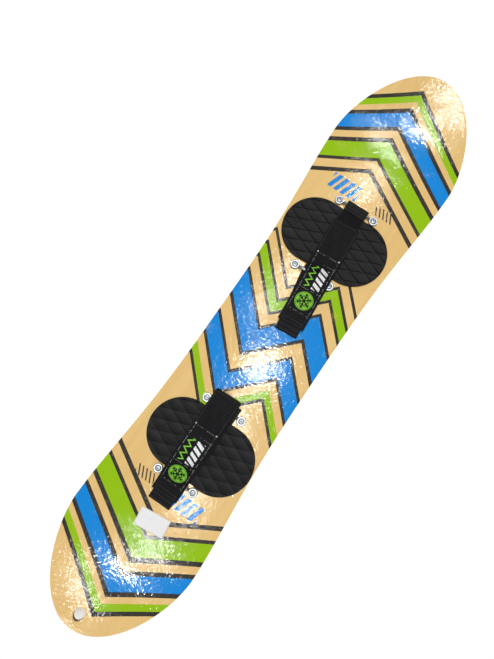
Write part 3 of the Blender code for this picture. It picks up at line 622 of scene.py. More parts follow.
def rubber_stuff():
    stuff = Stuff("moulded_rubber")
    place = stuff.spot()
    fine = stuff.noise(place, 2600.0, 3.0, 0.7)
    dust = stuff.noise(place, 34.0, 4.0, 0.6)
    # The mesh's high values are painted light and shade on the tread, and they lift the colour together with
    # the dust.
    share = stuff.value("high") * (dust * 2.2 - 0.55) + fine * 0.10 - 0.05
    return stuff.finished(stuff.mixed(share.limited(), RUBBER, RUBBER_LIT_AND_DUSTY), fine, RUBBER_RELIEF,
                          Roughness=(dust - 0.5) * 0.50 + 0.50, Specular_IOR_Level=0.07)


def metal_stuff(name, tint, dull):
    stuff = Stuff(name)
    place = stuff.spot()
    spots = stuff.noise(place, 420.0, 4.0, 0.65)
    marks = stuff.noise(place, 1700.0, 2.0, 0.6)
    plated = stuff.mixed((spots - 0.40).limited(2.2), dull, tint)
    # Painted shade: the mesh's values darken the plating in its cups, recesses, sides and hidden parts.
    colour = stuff.mixed(stuff.value("painted_light"), METAL_PAINTED_SHADE, plated)
    roughness = (marks - 0.5) * 0.25 + (spots - 0.5) * 0.2 + ZINC_ROUGHNESS
    return stuff.finished(colour, spots * 0.6 + marks * 0.5, PLATING_RELIEF,
                          Metallic=1.0, Roughness=roughness)


def webbing_stuff(name, warp_pitch, weft_pitch, ribbed):
    """Woven strap: warp columns along it, each a row of small stitches, and a firm edge."""
    stuff = Stuff(name)
    place = stuff.weave()
    along, across, inset = stuff.axes(place)
    column = across.wave(warp_pitch)
    step = (across / warp_pitch).op("FLOOR") * (weft_pitch / 2)
    knuckle = (along + step).wave(weft_pitch)
    cloth = column.op("POWER", 0.6) * (knuckle.op("POWER", 0.5) * 0.55 + 0.45)
    rib = inset.within(*RIB_INSETS, RIB_BLUR)
    fuzz = stuff.noise(place, 3000.0, 2.0, 0.7)
    worn = stuff.noise(stuff.joined(along * 0.6, across, inset), 60.0, 4.0, 0.6)
    ridge = along.wave(weft_pitch * 2)
    # The crosswise ribs are raised in the relief and also painted lighter, a painted sheen on their crests.
    share = (cloth * 0.45 + fuzz * 0.20 + worn * 0.7 + ridge * ribbed - 0.44).limited(0.9)
    colour = stuff.mixed((share + rib * 0.22).limited(), NYLON, NYLON_HIGH)
    height = cloth * 0.8 + fuzz * 0.25 - rib * 0.9 + ridge * (ribbed * 3.0)
    return stuff.finished(colour, height, WEAVE_RELIEF,
                          Roughness=(worn - 0.5) * 0.3 + 0.58, Specular_IOR_Level=0.05)


def pile_stuff(name, scale, relief):
    stuff = Stuff(name)
    place = stuff.weave()
    tufts = stuff.noise(place, scale, 4.0, 0.75, 0.8)
    fluff = stuff.noise(place, scale * 0.15, 3.0, 0.6)
    share = (tufts * 0.8 + fluff * 0.5 - 0.40).limited(1.2)
    return stuff.finished(stuff.mixed(share, NYLON, NYLON_HIGH), tufts, relief,
                          Roughness=0.92, Specular_IOR_Level=0.05)


def snow_disc(stuff, along, across):
    """A disc with a six-armed snow star and a thin ring left out of it."""
    radius = stuff.distance(along, across, *DISC_CENTRE)
    turn = (across - DISC_CENTRE[1]).op("ARCTAN2", along - DISC_CENTRE[0])
    fold = (turn + math.pi).op("PINGPONG", math.pi / 6)
    beside = radius * fold.op("SINE")
    out = radius * fold.op("COSINE")
    half, reach = STAR_ARM
    star = beside.below(half, LABEL_BLUR) * radius.below(reach, LABEL_BLUR)
    for at, half, reach in STAR_BARBS:
        slant = abs(out - beside * STAR_BARB_SLANT - at)
        star = star.or_(slant.below(half, LABEL_BLUR) * beside.below(reach, LABEL_BLUR))
    star = star.or_(radius.within(*STAR_RING, LABEL_BLUR))
    return radius.below(DISC_RADIUS, LABEL_BLUR) * star.inverted()


def label_stuff():
    """A printed cloth: sparse dashes round it, a green zigzag, white bars and a disc with a snow star."""
    stuff = Stuff("printed_label")
    place = stuff.weave()
    along, across, inset = stuff.axes(place)
    patches = stuff.noise(stuff.joined(along, across, 0.0), 150.0, 1.0, 0.5)
    sparse = patches.inverted().below(0.52, 0.04)
    dashes = along.wave(DASH_PITCH).below(0.50, 0.12) * sparse
    cross_dashes = across.wave(DASH_PITCH).below(0.50, 0.12)
    white = inset.within(*DASH_INSETS, LABEL_BLUR) * dashes * 0.6
    for at, strength in DASH_ROWS:
        row = along.within(at, at + DASH_THICKNESS, LABEL_BLUR)
        white = white.or_(row * cross_dashes * sparse * strength)
    for side in (-1.0, 1.0):
        dot = stuff.distance(along, across, DOT_PLACE[0], side * DOT_PLACE[1])
        white = white.or_(dot.below(DOT_RADIUS, LABEL_BLUR))
    block = along.within(*BLOCK_LIMITS, LABEL_BLUR)
    bars = (along + across * LABEL_BARS_SLANT).wave(LABEL_BARS_PITCH).below(0.64, 0.10)
    white = white.or_(across.within(0.0, LABEL_BARS_TOP, LABEL_BLUR) * block * bars)
    steps = along.wave(LABEL_ZIGZAG_PITCH) * LABEL_ZIGZAG_HEIGHT - across - LABEL_ZIGZAG_SHIFT
    green = abs(steps).below(LABEL_ZIGZAG_HALF, LABEL_BLUR) * block
    green = green.or_(snow_disc(stuff, along, across))
    worn = stuff.noise(place, 520.0, 4.0, 0.7)
    keep = worn.below(0.60, 0.05)
    warp, weft = LABEL_THREAD_PITCHES
    threads = along.wave(warp) * 0.5 + across.wave(weft) * 0.5
    ground = stuff.mixed(threads * 0.4, NYLON, NYLON_HIGH)
    printed = stuff.mixed(green * keep, ground, PRINT_GREEN)
    colour = stuff.mixed(white * keep, printed, PRINT_WHITE)
    return stuff.finished(colour, threads + worn * 0.4, PRINT_RELIEF,
                          Roughness=(worn - 0.5) * 0.2 + 0.58, Specular_IOR_Level=0.05)


def thread_stuff():
    stuff = Stuff("sewing_thread")
    twist = stuff.noise(stuff.spot(), 4200.0, 2.0, 0.6)
    return stuff.finished(stuff.mixed(twist, THREAD_DARK, THREAD), twist, THREAD_RELIEF, Roughness=0.6)


def paper_stuff():
    stuff = Stuff("sticker_paper")
    place = stuff.spot()
    x, y, z = stuff.axes(place)
    mottle = stuff.noise(place, 240.0, 4.0, 0.6)
    crease = stuff.noise(stuff.joined(x * 1.4, y, z), 46.0, 2.0, 0.5)
    return stuff.finished(stuff.mixed(mottle, PAPER, PAPER_DULLED), crease + mottle * 0.1, PAPER_RELIEF,
                          Roughness=(mottle - 0.5) * 0.2 + 0.42)


# Meshes


def loft(rows, closed=True, capped=True):
    """The points of the rows and the faces between them. Each row is a loop or an open line."""
    rows = np.asarray(rows, float)
    count, width = rows.shape[:2]
    faces = []
    for row in range(count - 1):
        for column in range(width if closed else width - 1):
            following = (column + 1) % width
            low, high = row * width, (row + 1) * width
            faces.append((low + column, low + following, high + following, high + column))
    if capped:
        faces.append(tuple(reversed(range(width))))
        faces.append(tuple(range((count - 1) * width, count * width)))
    return rows.reshape(-1, 3), faces


def linked(name, data):
    """A new object in the scene."""
    obj = bpy.data.objects.new(name, data)
    bpy.context.scene.collection.objects.link(obj)
    return obj


def mesh_from(bm, name):
    bmesh.ops.recalc_face_normals(bm, faces=bm.faces)
    mesh = bpy.data.meshes.new(name)
    bm.to_mesh(mesh)
    bm.free()
    return mesh


def add_piece(name, points, faces, material, body, replaced, fields=None, sharp=SHARP_ANGLE):
    """A visible piece that rides on a body, if one is given."""
    mesh = bpy.data.meshes.new(name)
    mesh.from_pydata([tuple(map(float, point)) for point in points], [], faces)
    for key, values in (fields or {}).items():
        values = np.asarray(values, float)
        kind, target = ("FLOAT_VECTOR", "vector") if values.ndim == 2 else ("FLOAT", "value")
        mesh.attributes.new(key, kind, "POINT").data.foreach_set(target, values.ravel())
    bm = bmesh.new()
    bm.from_mesh(mesh)
    bmesh.ops.remove_doubles(bm, verts=bm.verts, dist=FIT_GAP / 100)
    bmesh.ops.recalc_face_normals(bm, faces=bm.faces)
    bm.to_mesh(mesh)
    bm.free()
    return finish_piece(name, mesh, material, body, replaced, sharp)


def finish_piece(name, mesh, material, body, replaced, sharp=SHARP_ANGLE):
    mesh.materials.clear()
    mesh.materials.append(material)
    mesh.shade_smooth()
    mesh.set_sharp_from_angle(angle=math.radians(sharp))
    obj = linked(name, mesh)
    if body:
        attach(obj, body)
    if replaced:
        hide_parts(*replaced)
    return obj


def turned(profile, steps=ROUND_STEPS):
    """Rows of points for a profile of (radius, height) turned about Z."""
    return [[(r * math.cos(a), r * math.sin(a), z) for a in round_angles(steps)] for r, z in profile]


def arc(centre, radius, start, finish, steps):
    angles = np.radians(np.linspace(start, finish, steps))
    return [(centre[0] + radius * math.cos(a), centre[1] + radius * math.sin(a)) for a in angles]


# Deck


def half_width(x):
    reach = min(abs(x), DECK_REACH)
    if reach <= WIDEST_REACH:
        rise = (reach / WIDEST_REACH) ** WAIST_POWER
        return (WAIST_WIDTH + (WIDEST_WIDTH - WAIST_WIDTH) * eased(rise)) / 2
    run = (reach - WIDEST_REACH) / (DECK_REACH - WIDEST_REACH)
    return WIDEST_WIDTH / 2 * math.sqrt(max(0.0, 1.0 - run**TIP_POWER))


def outline_reach(y):
    share = min(1.0, abs(y) / (WIDEST_WIDTH / 2))
    run = (1.0 - share * share) ** (1.0 / TIP_POWER)
    return WIDEST_REACH + run * (DECK_REACH - WIDEST_REACH)


def tip_run(x):
    """How far along a turned-up end: 0 where it starts and 1 at the tip."""
    return max(0.0, abs(x) - FLAT_REACH) / (DECK_REACH - FLAT_REACH)


def tip_rise(x):
    run = tip_run(x)
    return TIP_LIFT * run * run


def tip_slope(x):
    return math.copysign(2.0 * TIP_LIFT * tip_run(x) / (DECK_REACH - FLAT_REACH), x)


def deck_point(along, across):
    crowded = (1.0 + TIP_CROWDING_SHARE) * abs(along) - TIP_CROWDING_SHARE * abs(along) ** 3
    side = outline_reach(TIP_ROW_REACH) * crowded
    bow = (DECK_REACH - outline_reach(TIP_ROW_REACH)) * crowded**4
    y = across * half_width(side)
    x = side + bow * (1.0 - across * across) if abs(along) < 1.0 else outline_reach(y)
    x = math.copysign(x, along)
    return Vector((x, y, DECK_THICKNESS + tip_rise(x)))


def depth_in_deck(x, z):
    """How far a point lies under the deck's top, square to it."""
    top_x = x
    for _ in range(DEPTH_ROUNDS):
        below_top = DECK_THICKNESS + tip_rise(top_x) - z
        top_x = x - tip_slope(top_x) * below_top
    return below_top * math.hypot(tip_slope(top_x), 1.0)


def make_deck(material):
    bm = bmesh.new()
    bmesh.ops.create_grid(bm, x_segments=DECK_ROWS, y_segments=DECK_COLUMNS, size=1.0)
    for vert in bm.verts:
        vert.co = deck_point(round(vert.co.x, GRID_DIGITS), round(vert.co.y, GRID_DIGITS))
    mesh = mesh_from(bm, "deck_blank")
    if mesh.polygons[0].normal.z < 0:
        mesh.flip_normals()
    blank = linked("deck_blank", mesh)
    cutter = linked("deck_holes", deck_holes())
    solid = blank.modifiers.new("thickness", "SOLIDIFY")
    with_settings(solid, thickness=DECK_THICKNESS, offset=-1.0)
    bevel = blank.modifiers.new("rounded", "BEVEL")
    with_settings(bevel, width=DECK_EDGE_ROUND, segments=DECK_EDGE_STEPS, limit_method="ANGLE",
                  angle_limit=math.radians(DECK_EDGE_ANGLE))
    cut = blank.modifiers.new("cut", "BOOLEAN")
    with_settings(cut, operation="DIFFERENCE", object=cutter, solver="EXACT")
    bpy.context.view_layer.update()
    graph = bpy.context.evaluated_depsgraph_get()
    shaped = bpy.data.meshes.new_from_object(blank.evaluated_get(graph))
    for obj in (blank, cutter):
        bpy.data.objects.remove(obj, do_unlink=True)
    depths = [depth_in_deck(vert.co.x, vert.co.z) for vert in shaped.vertices]
    shaped.attributes.new("depth", "FLOAT", "POINT").data.foreach_set("value", depths)
    finish_piece("birch_deck", shaped, material, "board", ("deck",), DECK_SHARP_ANGLE)


def deck_holes():
    """Bores and recesses for the tee nuts, and the cord hole square to the turned-up nose."""
    recess_top = FIT_GAP + FLANGE_THICKNESS + FIT_GAP
    over = DECK_THICKNESS + CUT_OVERRUN
    profile = (
        (BARREL_RADIUS + FIT_GAP, over),
        (BARREL_RADIUS + FIT_GAP, recess_top),
        (FLANGE_RADIUS + FIT_GAP, recess_top),
        (FLANGE_RADIUS + FIT_GAP, -CUT_OVERRUN),
    )
    bm = bmesh.new()
    for binding in BINDINGS.values():
        for along in (-BAIL_REACH, BAIL_REACH):
            for across in (-SCREW_REACH, SCREW_REACH):
                place = Matrix.Translation((binding.x + along, binding.y + across, 0.0))
                add_loft(bm, turned(profile), place)
    deep = 2 * DECK_THICKNESS
    square = Matrix.Rotation(-math.atan(tip_slope(CORD_HOLE_X)), 4, "Y")
    place = Matrix.Translation((CORD_HOLE_X, 0.0, DECK_THICKNESS / 2 + tip_rise(CORD_HOLE_X)))
    add_loft(bm, turned(((CORD_HOLE_RADIUS, deep), (CORD_HOLE_RADIUS, -deep))), place @ square)
    return mesh_from(bm, "deck_holes")


def add_loft(bm, rows, place):
    points, faces = loft(rows)
    verts = [bm.verts.new(place @ Vector(point)) for point in points]
    for face in faces:
        bm.faces.new([verts[index] for index in face])


# Foot pads


def pad_edge(count):
    """Points round the pad's outline, with the point of its middle line that each belongs to."""
    lobe = PAD_WIDTH / 2
    lobe_centre = PAD_LENGTH / 2 - lobe
    curved = int(count * math.pi * lobe / (2 * math.pi * lobe + 4 * lobe_centre))
    straight = count // 2 - curved
    edge = []
    for side in (1.0, -1.0):
        for step in range(curved):
            angle = math.pi * step / curved
            edge.append((side * lobe * math.cos(angle), side * (lobe_centre + lobe * math.sin(angle))))
        for step in range(straight):
            y = lobe_centre * (1.0 - 2.0 * step / straight)
            drawn = math.cos(math.pi / 2 * min(1.0, abs(y) / lobe_centre)) ** 2
            edge.append((-side * (lobe - PAD_WAIST_DRAW * drawn), side * y))
    middles = [(0.0, max(-lobe_centre, min(lobe_centre, y))) for x, y in edge]
    return np.array(edge), np.array(middles)


def tread(x, y, margin):
    """How deep the tread is, in diamonds that drop at one end and ramp up, and the light and shade painted
    on it: lighter or darker by the ramp's lean, and dark in the creases.
    """
    half_short, half_long = TREAD_PITCH_SHORT / 2, TREAD_PITCH_LONG / 2
    best = np.full(x.shape, -1.0)
    lean = np.zeros(x.shape)
    for shift_x, shift_y in ((0.0, 0.0), (half_short, half_long)):
        dx = (x - shift_x + half_short) % TREAD_PITCH_SHORT - half_short
        dy = (y - shift_y + half_long) % TREAD_PITCH_LONG - half_long
        inside = 1.0 - abs(dx) / half_short - abs(dy) / half_long
        lean = np.where(inside > best, dx / half_short, lean)
        best = np.maximum(best, inside)
    wall = held((best - TREAD_RIB_SHARE) / TREAD_WALL_SHARE)
    base, gain, least = TREAD_RAMP_SHARES
    ramp = np.clip(base + gain * lean, least, 1.0)
    fade = held((margin - TREAD_MARGIN) / TREAD_FADE)
    sink = TREAD_DEPTH * eased(wall) * ramp * fade
    # Painted shade: the creases at the foot of each drop are darkened.
    crease = held(1.0 - abs(best - TREAD_RIB_SHARE) / CREASE_WIDTH_SHARE) * (lean > 0.0) * fade
    base, loss, least = TREAD_LIGHT_SHARES
    high = np.clip(base - loss * lean, least, 1.0) * (1.0 - CREASE_SHADE_SHARE * crease)
    return sink, high


def make_pad(side, binding, material):
    edge, middles = pad_edge(PAD_OUTLINE_POINTS)
    spread = np.linalg.norm(edge - middles, axis=1)
    rim_share = PAD_RIM_ROUND / spread.mean()
    inner = np.linspace(0.0, 1.0 - rim_share, PAD_RINGS)
    rim = 1.0 - rim_share * (1.0 - np.sin(np.radians(np.linspace(0.0, 90.0, PAD_RIM_RINGS + 1)[1:])))
    rows, painted_lights = [], []
    for share in (*inner, *rim):
        flat = middles + (edge - middles) * share
        margin = (1.0 - share) * spread
        sink, high = tread(flat[:, 0], flat[:, 1], margin)
        left = np.clip(PAD_RIM_ROUND - margin, 0.0, PAD_RIM_ROUND)
        rounding = PAD_RIM_ROUND - np.sqrt(PAD_RIM_ROUND**2 - left**2)
        rows.append(np.column_stack([flat, PAD_THICKNESS - sink - rounding]))
        painted_lights.append(high)
    # The pad's sides get a low share of painted light, as painted shade.
    for height, draw in ((PAD_FOOT, 1.0), (0.0, 1.0 - PAD_FOOT / spread.mean())):
        flat = middles + (edge - middles) * draw
        rows.append(np.column_stack([flat, np.full(len(flat), height)]))
        painted_lights.append(np.full(len(flat), PAD_SIDE_LIGHT_SHARE))
    points, faces = loft(rows, capped=False)
    faces.append(tuple(range(len(points) - len(edge), len(points))))
    turn = Matrix.Rotation(math.radians(binding.pad_turn), 4, "Z")
    base = Vector((binding.x + binding.pad_reach, binding.y + binding.pad_shift, 0.0))
    base.z = DECK_THICKNESS + FIT_GAP
    place = Matrix.Translation(base) @ turn
    points = [place @ Vector(point) for point in points]
    add_piece(side + "_tread_pad", points, faces, material, "board", (side + "_foot_pad",),
              {"high": np.concatenate(painted_lights)}, PAD_SHARP_ANGLE)


# Bails and fasteners


def bail_rows():
    """Sections of the rod from eye to eye: round in the legs and the bar, flat in the eyes."""
    foot_y, foot_z = SCREW_REACH - LEG_FOOT_REACH, 2 * FIT_GAP + ROD_RADIUS
    run, rise = foot_y - BAR_STRAIGHT_REACH, BAR_HEIGHT - foot_z
    eye_z = FIT_GAP + EYE_THICKNESS / 2
    leg = [(foot_y - a * run, foot_z + r * rise) for a, r in LEG_SHARES]
    side = [(SCREW_REACH + out * EYE_RADIUS, eye_z) for out in (1.0, 0.5, 0.0, -EYE_INNER_SHARE)]
    side += [(foot_y + LEG_TOE, (eye_z + foot_z) / 2), *leg[1:]]
    side += [(along * BAR_STRAIGHT_REACH, BAR_HEIGHT) for along in (1.0, 0.5, 0.0)]
    path = smooth_route([(y, 0.0, z, 0.0) for y, z in side])[::2]
    mirrored = path[-2::-1] * np.array([-1.0, 1.0, 1.0, 1.0])
    path = np.vstack([path, mirrored])
    rows = []
    for (y, _, z, _), (run_y, run_z) in zip(path, headings(path)):
        off = SCREW_REACH - abs(y)
        disc = math.sqrt(max(EYE_RADIUS**2 - off * off, LEAST_SQUARE))
        blend = eased(held((off - NECK_START) / NECK_LENGTH))
        broad = max(disc, NECK_RADIUS * (1 - blend) + ROD_RADIUS * blend) if off > 0 else disc
        high = EYE_THICKNESS / 2 * (1 - blend) + ROD_RADIUS * blend
        power = EYE_SQUARE_POWER + (1.0 - EYE_SQUARE_POWER) * blend
        ring = []
        for angle in round_angles(ROD_SIDES):
            up = math.copysign(abs(math.sin(angle)) ** power, math.sin(angle)) * high
            ring.append((math.cos(angle) * broad, y - run_z * up, z + run_y * up))
        rows.append(ring)
    return rows


def washer_profile():
    bore = SHANK_RADIUS + FIT_GAP
    top, soft = WASHER_HEIGHT, WASHER_RIM_ROUND
    outer = arc((WASHER_RADIUS - soft, top - soft), soft, 90.0, 0.0, RIM_POINTS)
    inner = arc((CUP_RADIUS + soft / 2, top - soft / 2), soft / 2, 180.0, 90.0, CUP_LIP_POINTS)
    floor = [(bore, WASHER_FLOOR), (CUP_RADIUS, WASHER_FLOOR)]
    return [*floor, *inner, *outer, (WASHER_RADIUS, 0.0), (bore, 0.0), (bore, WASHER_FLOOR)]


def screw_rows():
    """A domed head with a cross recess over its shank."""
    rows = []
    for radius in np.linspace(0.0, HEAD_RADIUS, HEAD_RINGS):
        row = []
        share = radius / HEAD_RADIUS
        dome = HEAD_HEIGHT - HEAD_DOME * (1.0 - math.sqrt(1.0 - HEAD_DOME_SHARE * share * share))
        for angle in round_angles(SCREW_STEPS):
            x, y = radius * math.cos(angle), radius * math.sin(angle)
            narrow, wide = sorted((abs(x), abs(y)))
            wall = held((DRIVE_HALF_WIDTH - narrow) / DRIVE_WALL + 0.5)
            deep = held((DRIVE_REACH - wide) / DRIVE_RAMP)
            row.append((x, y, dome - DRIVE_DEPTH * wall * deep))
        rows.append(row)
    tip = SHANK_TIP_HEIGHT - HEAD_BASE
    lower = [(HEAD_RADIUS, HEAD_CHAMFER), (HEAD_RADIUS - HEAD_CHAMFER, 0.0), (SHANK_RADIUS, 0.0)]
    lower += [(SHANK_RADIUS, tip + SHANK_CHAMFER), (SHANK_RADIUS - SHANK_CHAMFER, tip)]
    return rows + turned(lower, SCREW_STEPS)


def tee_nut_profile():
    bore = SHANK_RADIUS + FIT_GAP
    top = FIT_GAP + FLANGE_THICKNESS
    centre = (FLANGE_RADIUS - FLANGE_ROUND, FIT_GAP + FLANGE_ROUND)
    rim = arc(centre, FLANGE_ROUND, 0.0, -90.0, FLANGE_RIM_POINTS)
    return [(bore, BARREL_TOP), (BARREL_RADIUS, BARREL_TOP), (BARREL_RADIUS, top), (FLANGE_RADIUS, top),
            *rim, (bore + NUT_CHAMFER, FIT_GAP), (bore, FIT_GAP + NUT_CHAMFER), (bore, BARREL_TOP)]


def washer_part(x, y, z):
    if math.hypot(x, y) < CUP_RADIUS + FIT_GAP:
        return "cup_floor" if z < WASHER_HEIGHT / 2 else "cup_wall"
    return "washer_top" if z > WASHER_HEIGHT - WASHER_RIM_ROUND * BRIGHT_RIM_SHARE else "washer_side"


def screw_part(x, y, z):
    if math.hypot(x, y) > HEAD_RADIUS * BRIGHT_HEAD_SHARE:
        return "head_edge"
    return "recess" if z < HEAD_HEIGHT - HEAD_DOME else "head"


def rod_part(x, y, z):
    return "bar" if z > EYE_THICKNESS else "eye"


def nut_part(x, y, z):
    return "flange" if z < FLANGE_THICKNESS else "barrel"


def painted_light_by_part(points, part_at):
    """The painted light and shade at each point, by the part of the piece that it lies on."""
    return {"painted_light": [PAINTED_LIGHT_SHARES[part_at(*point)] for point in points]}


def make_hardware(side, binding, zinc, dull):
    bail = loft(bail_rows())
    shapes = (
        ("washer", "cup", loft(turned(washer_profile()), capped=False), WASHER_BASE, zinc, washer_part),
        ("screw", "bolt", loft(screw_rows()), HEAD_BASE, zinc, screw_part),
        ("tee_nut", "nut", loft(turned(tee_nut_profile()), capped=False), 0.0, dull, nut_part),
    )
    for bail_name, along in (("anchor", -BAIL_REACH), ("cinch", BAIL_REACH)):
        name = side + "_" + bail_name
        base = Vector((binding.x + along, binding.y, 0.0))
        rod = [base + Vector((x, y, z + DECK_THICKNESS)) for x, y, z in bail[0]]
        add_piece(name + "_bar", rod, bail[1], zinc, "board", (name + "_bail",),
                  painted_light_by_part(bail[0], rod_part))
        for hand, across in (("right", -SCREW_REACH), ("left", SCREW_REACH)):
            spot = base + Vector((0.0, across, 0.0))
            turn = Matrix.Rotation(spot.xy.dot(SCREW_TURNS), 3, "Z")
            for kind, new, (points, faces), height, material, part_at in shapes:
                lift = spot + Vector((0.0, 0.0, height))
                moved = [lift + turn @ Vector(point) for point in points]
                slot = "nut_steel" if kind == "tee_nut" else "zinc_steel"
                add_piece(f"{name}_{hand}_{new}", moved, faces, material, "board",
                          (f"{name}_{hand}_{kind}",), painted_light_by_part(points, part_at), SMALL_SHARP_ANGLE)


# Straps. A route's rows are: along the board, across it, height, and the slope of crosswise lines.


def laid(binding, lateral, places):
    """A route through places of (x, height), askew as the lateral function says for each x."""
    rows = []
    for x, height in places:
        y, slope = lateral(binding, x)
        rows.append((x, y, height, slope))
    return rows


def smooth_route(rows):
    """A curve through the rows, at a fine and even step."""
    rows = np.array(rows, float)
    ends = np.vstack([2 * rows[0] - rows[1], rows, 2 * rows[-1] - rows[-2]])
    fine = []
    for first, start, finish, last in zip(ends, ends[1:], ends[2:], ends[3:]):
        count = max(2, int(np.linalg.norm((finish - start)[:3]) / ROUTE_STEP))
        knots = [0.0]
        for one, two in ((first, start), (start, finish), (finish, last)):
            knots.append(knots[-1] + max(np.linalg.norm((two - one)[:3]), ROUTE_STEP) ** 0.5)
        for t in np.linspace(knots[1], knots[2], count, endpoint=False):
            fine.append(catmull(t, knots, (first, start, finish, last)))
    fine.append(rows[-1])
    return np.array(fine)


def catmull(t, knots, corners):
    def between(one, two, low, high):
        share = (t - low) / (high - low)
        return one * (1.0 - share) + two * share

    first = [between(corners[i], corners[i + 1], knots[i], knots[i + 1]) for i in range(3)]
    second = [between(first[i], first[i + 1], knots[i], knots[i + 2]) for i in range(2)]
    return between(*second, knots[1], knots[2])


def lengths_along(route):
    steps = np.linalg.norm(np.diff(route[:, :3], axis=0), axis=1)
    return np.concatenate([[0.0], np.cumsum(steps)])


def stretch_of(route, start, length):
    run = lengths_along(route)
    start = max(0.0, start)
    finish = min(run[-1], start + length)
    inner = route[(run > start) & (run < finish)]
    ends = [[np.interp(at, run, route[:, k]) for k in range(4)] for at in (start, finish)]
    return np.vstack([ends[0], inner, ends[1]])


def raised(route, height):
    ahead = headings(route)
    moved = route.copy()
    moved[:, 0] -= ahead[:, 1] * height
    moved[:, 2] += ahead[:, 0] * height
    return moved


def fold_x(binding):
    return BAIL_REACH + binding.fold_reach


def web_route(binding):
    """From the sewn tail, round the anchor bar, over the pad and under the cinch bar to the fold."""
    anchor, bulge, crest = -BAIL_REACH, binding.bulge, binding.crest
    half = WEB_THICKNESS / 2
    sewn = BAR_HEIGHT - half
    over = ROD_RADIUS + LOOP_SLACK + half
    under = ROD_RADIUS + LOOP_DROP + half
    tail = anchor + TAIL_REACH
    upper = [
        (tail, sewn + WEB_THICKNESS + FIT_GAP),
        (anchor + TAIL_OVER_BAR_SHARE * TAIL_REACH, BAR_HEIGHT + over - FIT_GAP),
    ]
    upper += [(anchor - out * bulge, BAR_HEIGHT + up * over) for out, up in LOOP_OVER_SHARES]
    lower = [(anchor - bulge, BAR_HEIGHT - FIT_GAP)]
    lower += [(anchor - out * bulge, BAR_HEIGHT - down * under) for out, down in LOOP_UNDER_SHARES]
    lower.append((tail, sewn))
    lower += [(along * BAIL_REACH, up * crest) for along, up in WEB_ARCH_SHARES]
    pad_end = PAD_WIDTH / 2 + binding.pad_reach
    lower.append((pad_end, PAD_THICKNESS + half + 2 * FIT_GAP))
    lower.append((BAIL_REACH, CINCH_PASS_HEIGHT))
    for share in LOWER_LEG_SHARES:
        lower.append((BAIL_REACH + share * binding.fold_reach, WEB_HEIGHT))
    lower.append((fold_x(binding) - FOLD_CLEAR / 2, WEB_HEIGHT))
    lower.append((fold_x(binding), WEB_HEIGHT))
    return smooth_route(laid(binding, loop_lateral, upper) + laid(binding, web_lateral, lower))


def loop_lateral(binding, x):
    marks = (-BAIL_REACH, 0.0)
    return float(np.interp(x, marks, (binding.loop_shift, binding.arch_shift))), 0.0


def web_lateral(binding, x):
    marks = (-BAIL_REACH - binding.bulge, -BAIL_REACH, 0.0, BAIL_REACH, fold_x(binding))
    shifts = (binding.loop_shift, binding.anchor_shift, binding.arch_shift,
              binding.cinch_shift, binding.fold_shift)
    slopes = (0.0, 0.0, 0.0, 0.0, binding.skew)
    return float(np.interp(x, marks, shifts)), float(np.interp(x, marks, slopes))


def flap_lateral(binding, x):
    return binding.fold_shift + binding.skew * (x - fold_x(binding)), binding.skew


def flap_route(binding):
    """From the seam by the fold, over the cinch bar and the web, as far as the flap could reach."""
    crest = binding.crest + STACK_HEIGHT
    reach = binding.fold_reach - SEAM_REACH
    low = UPPER_HEIGHT + (WEB_THICKNESS + FLAP_THICKNESS) / 2 + FIT_GAP
    over_bar = BAR_HEIGHT + ROD_RADIUS + FLAP_THICKNESS / 2 + BAR_SLACK
    over_loop = BAR_HEIGHT + ROD_RADIUS + LOOP_SLACK + STACK_HEIGHT + BAR_SLACK
    along, up = FLAP_RISE_SHARES
    places = [
        (BAIL_REACH + reach, low),
        (BAIL_REACH + along * reach, low + up * (over_bar - low)),
        (BAIL_REACH, over_bar + FIT_GAP),
    ]
    places += [(out * BAIL_REACH, rise * crest) for out, rise in FLAP_ARCH_SHARES]
    places.append((-BAIL_REACH, over_loop + WEB_THICKNESS / 2))
    places += [(-out * BAIL_REACH, over_loop - drop * WEB_THICKNESS) for out, drop in FLAP_END_SHARES]
    return smooth_route(laid(binding, flap_lateral, places))


def fold_route(binding):
    """Half a turn of the web between its lower leg and its upper leg."""
    x = fold_x(binding)
    middle = WEB_HEIGHT + FOLD_RADIUS
    rows = laid(binding, web_lateral, [(x - FOLD_CLEAR, middle - FOLD_RADIUS)])
    y, slope = flap_lateral(binding, x)
    for out, height in arc((x, middle), FOLD_RADIUS, -90.0, 90.0, FOLD_STEPS + 1):
        rows.append((out, y, height, slope))
    return smooth_route(rows + laid(binding, flap_lateral, [(x - FOLD_CLEAR, middle + FOLD_RADIUS)]))


def turnback_route(binding):
    reaches = (FOLD_CLEAR, SEAM_REACH, TURNBACK_LENGTH)
    places = [(fold_x(binding) - reach, UPPER_HEIGHT) for reach in reaches]
    return smooth_route(laid(binding, flap_lateral, places))


class Layer:
    """One layer of strap: its route, and where a place on it lies in the object's frame."""

    def __init__(self, binding, route, width, thickness):
        self.run = lengths_along(route)
        self.route = route
        self.width = width
        self.thickness = thickness
        self.base = np.array((binding.x, binding.y, DECK_THICKNESS))
        self.heading = headings(route)

    def at(self, run, across, up):
        x, y, z, slope = (np.interp(run, self.run, self.route[:, k]) for k in range(4))
        along_x, along_z = (np.interp(run, self.run, self.heading[:, k]) for k in range(2))
        size = math.hypot(along_x, along_z)
        level = math.hypot(slope, 1.0)
        point = np.array((x - slope / level * across, y + across / level, z))
        return self.base + point + np.array((-along_z, 0.0, along_x)) * (up / size)


def section(width, thickness, soft):
    """Across and up values round a strap's section, whose edges are rounded."""
    half, high = width / 2, thickness / 2
    flat = np.linspace(-half + soft, half - soft, SECTION_POINTS)
    turn = np.radians(np.linspace(90.0, -90.0, SECTION_EDGE_POINTS + 2)[1:-1])
    upper = [(across, high) for across in flat]
    right = [(half - soft + soft * math.cos(a), high * math.sin(a)) for a in turn]
    lower = [(across, -high) for across in flat[::-1]]
    return upper + right + lower + [(-across, -up) for across, up in right]


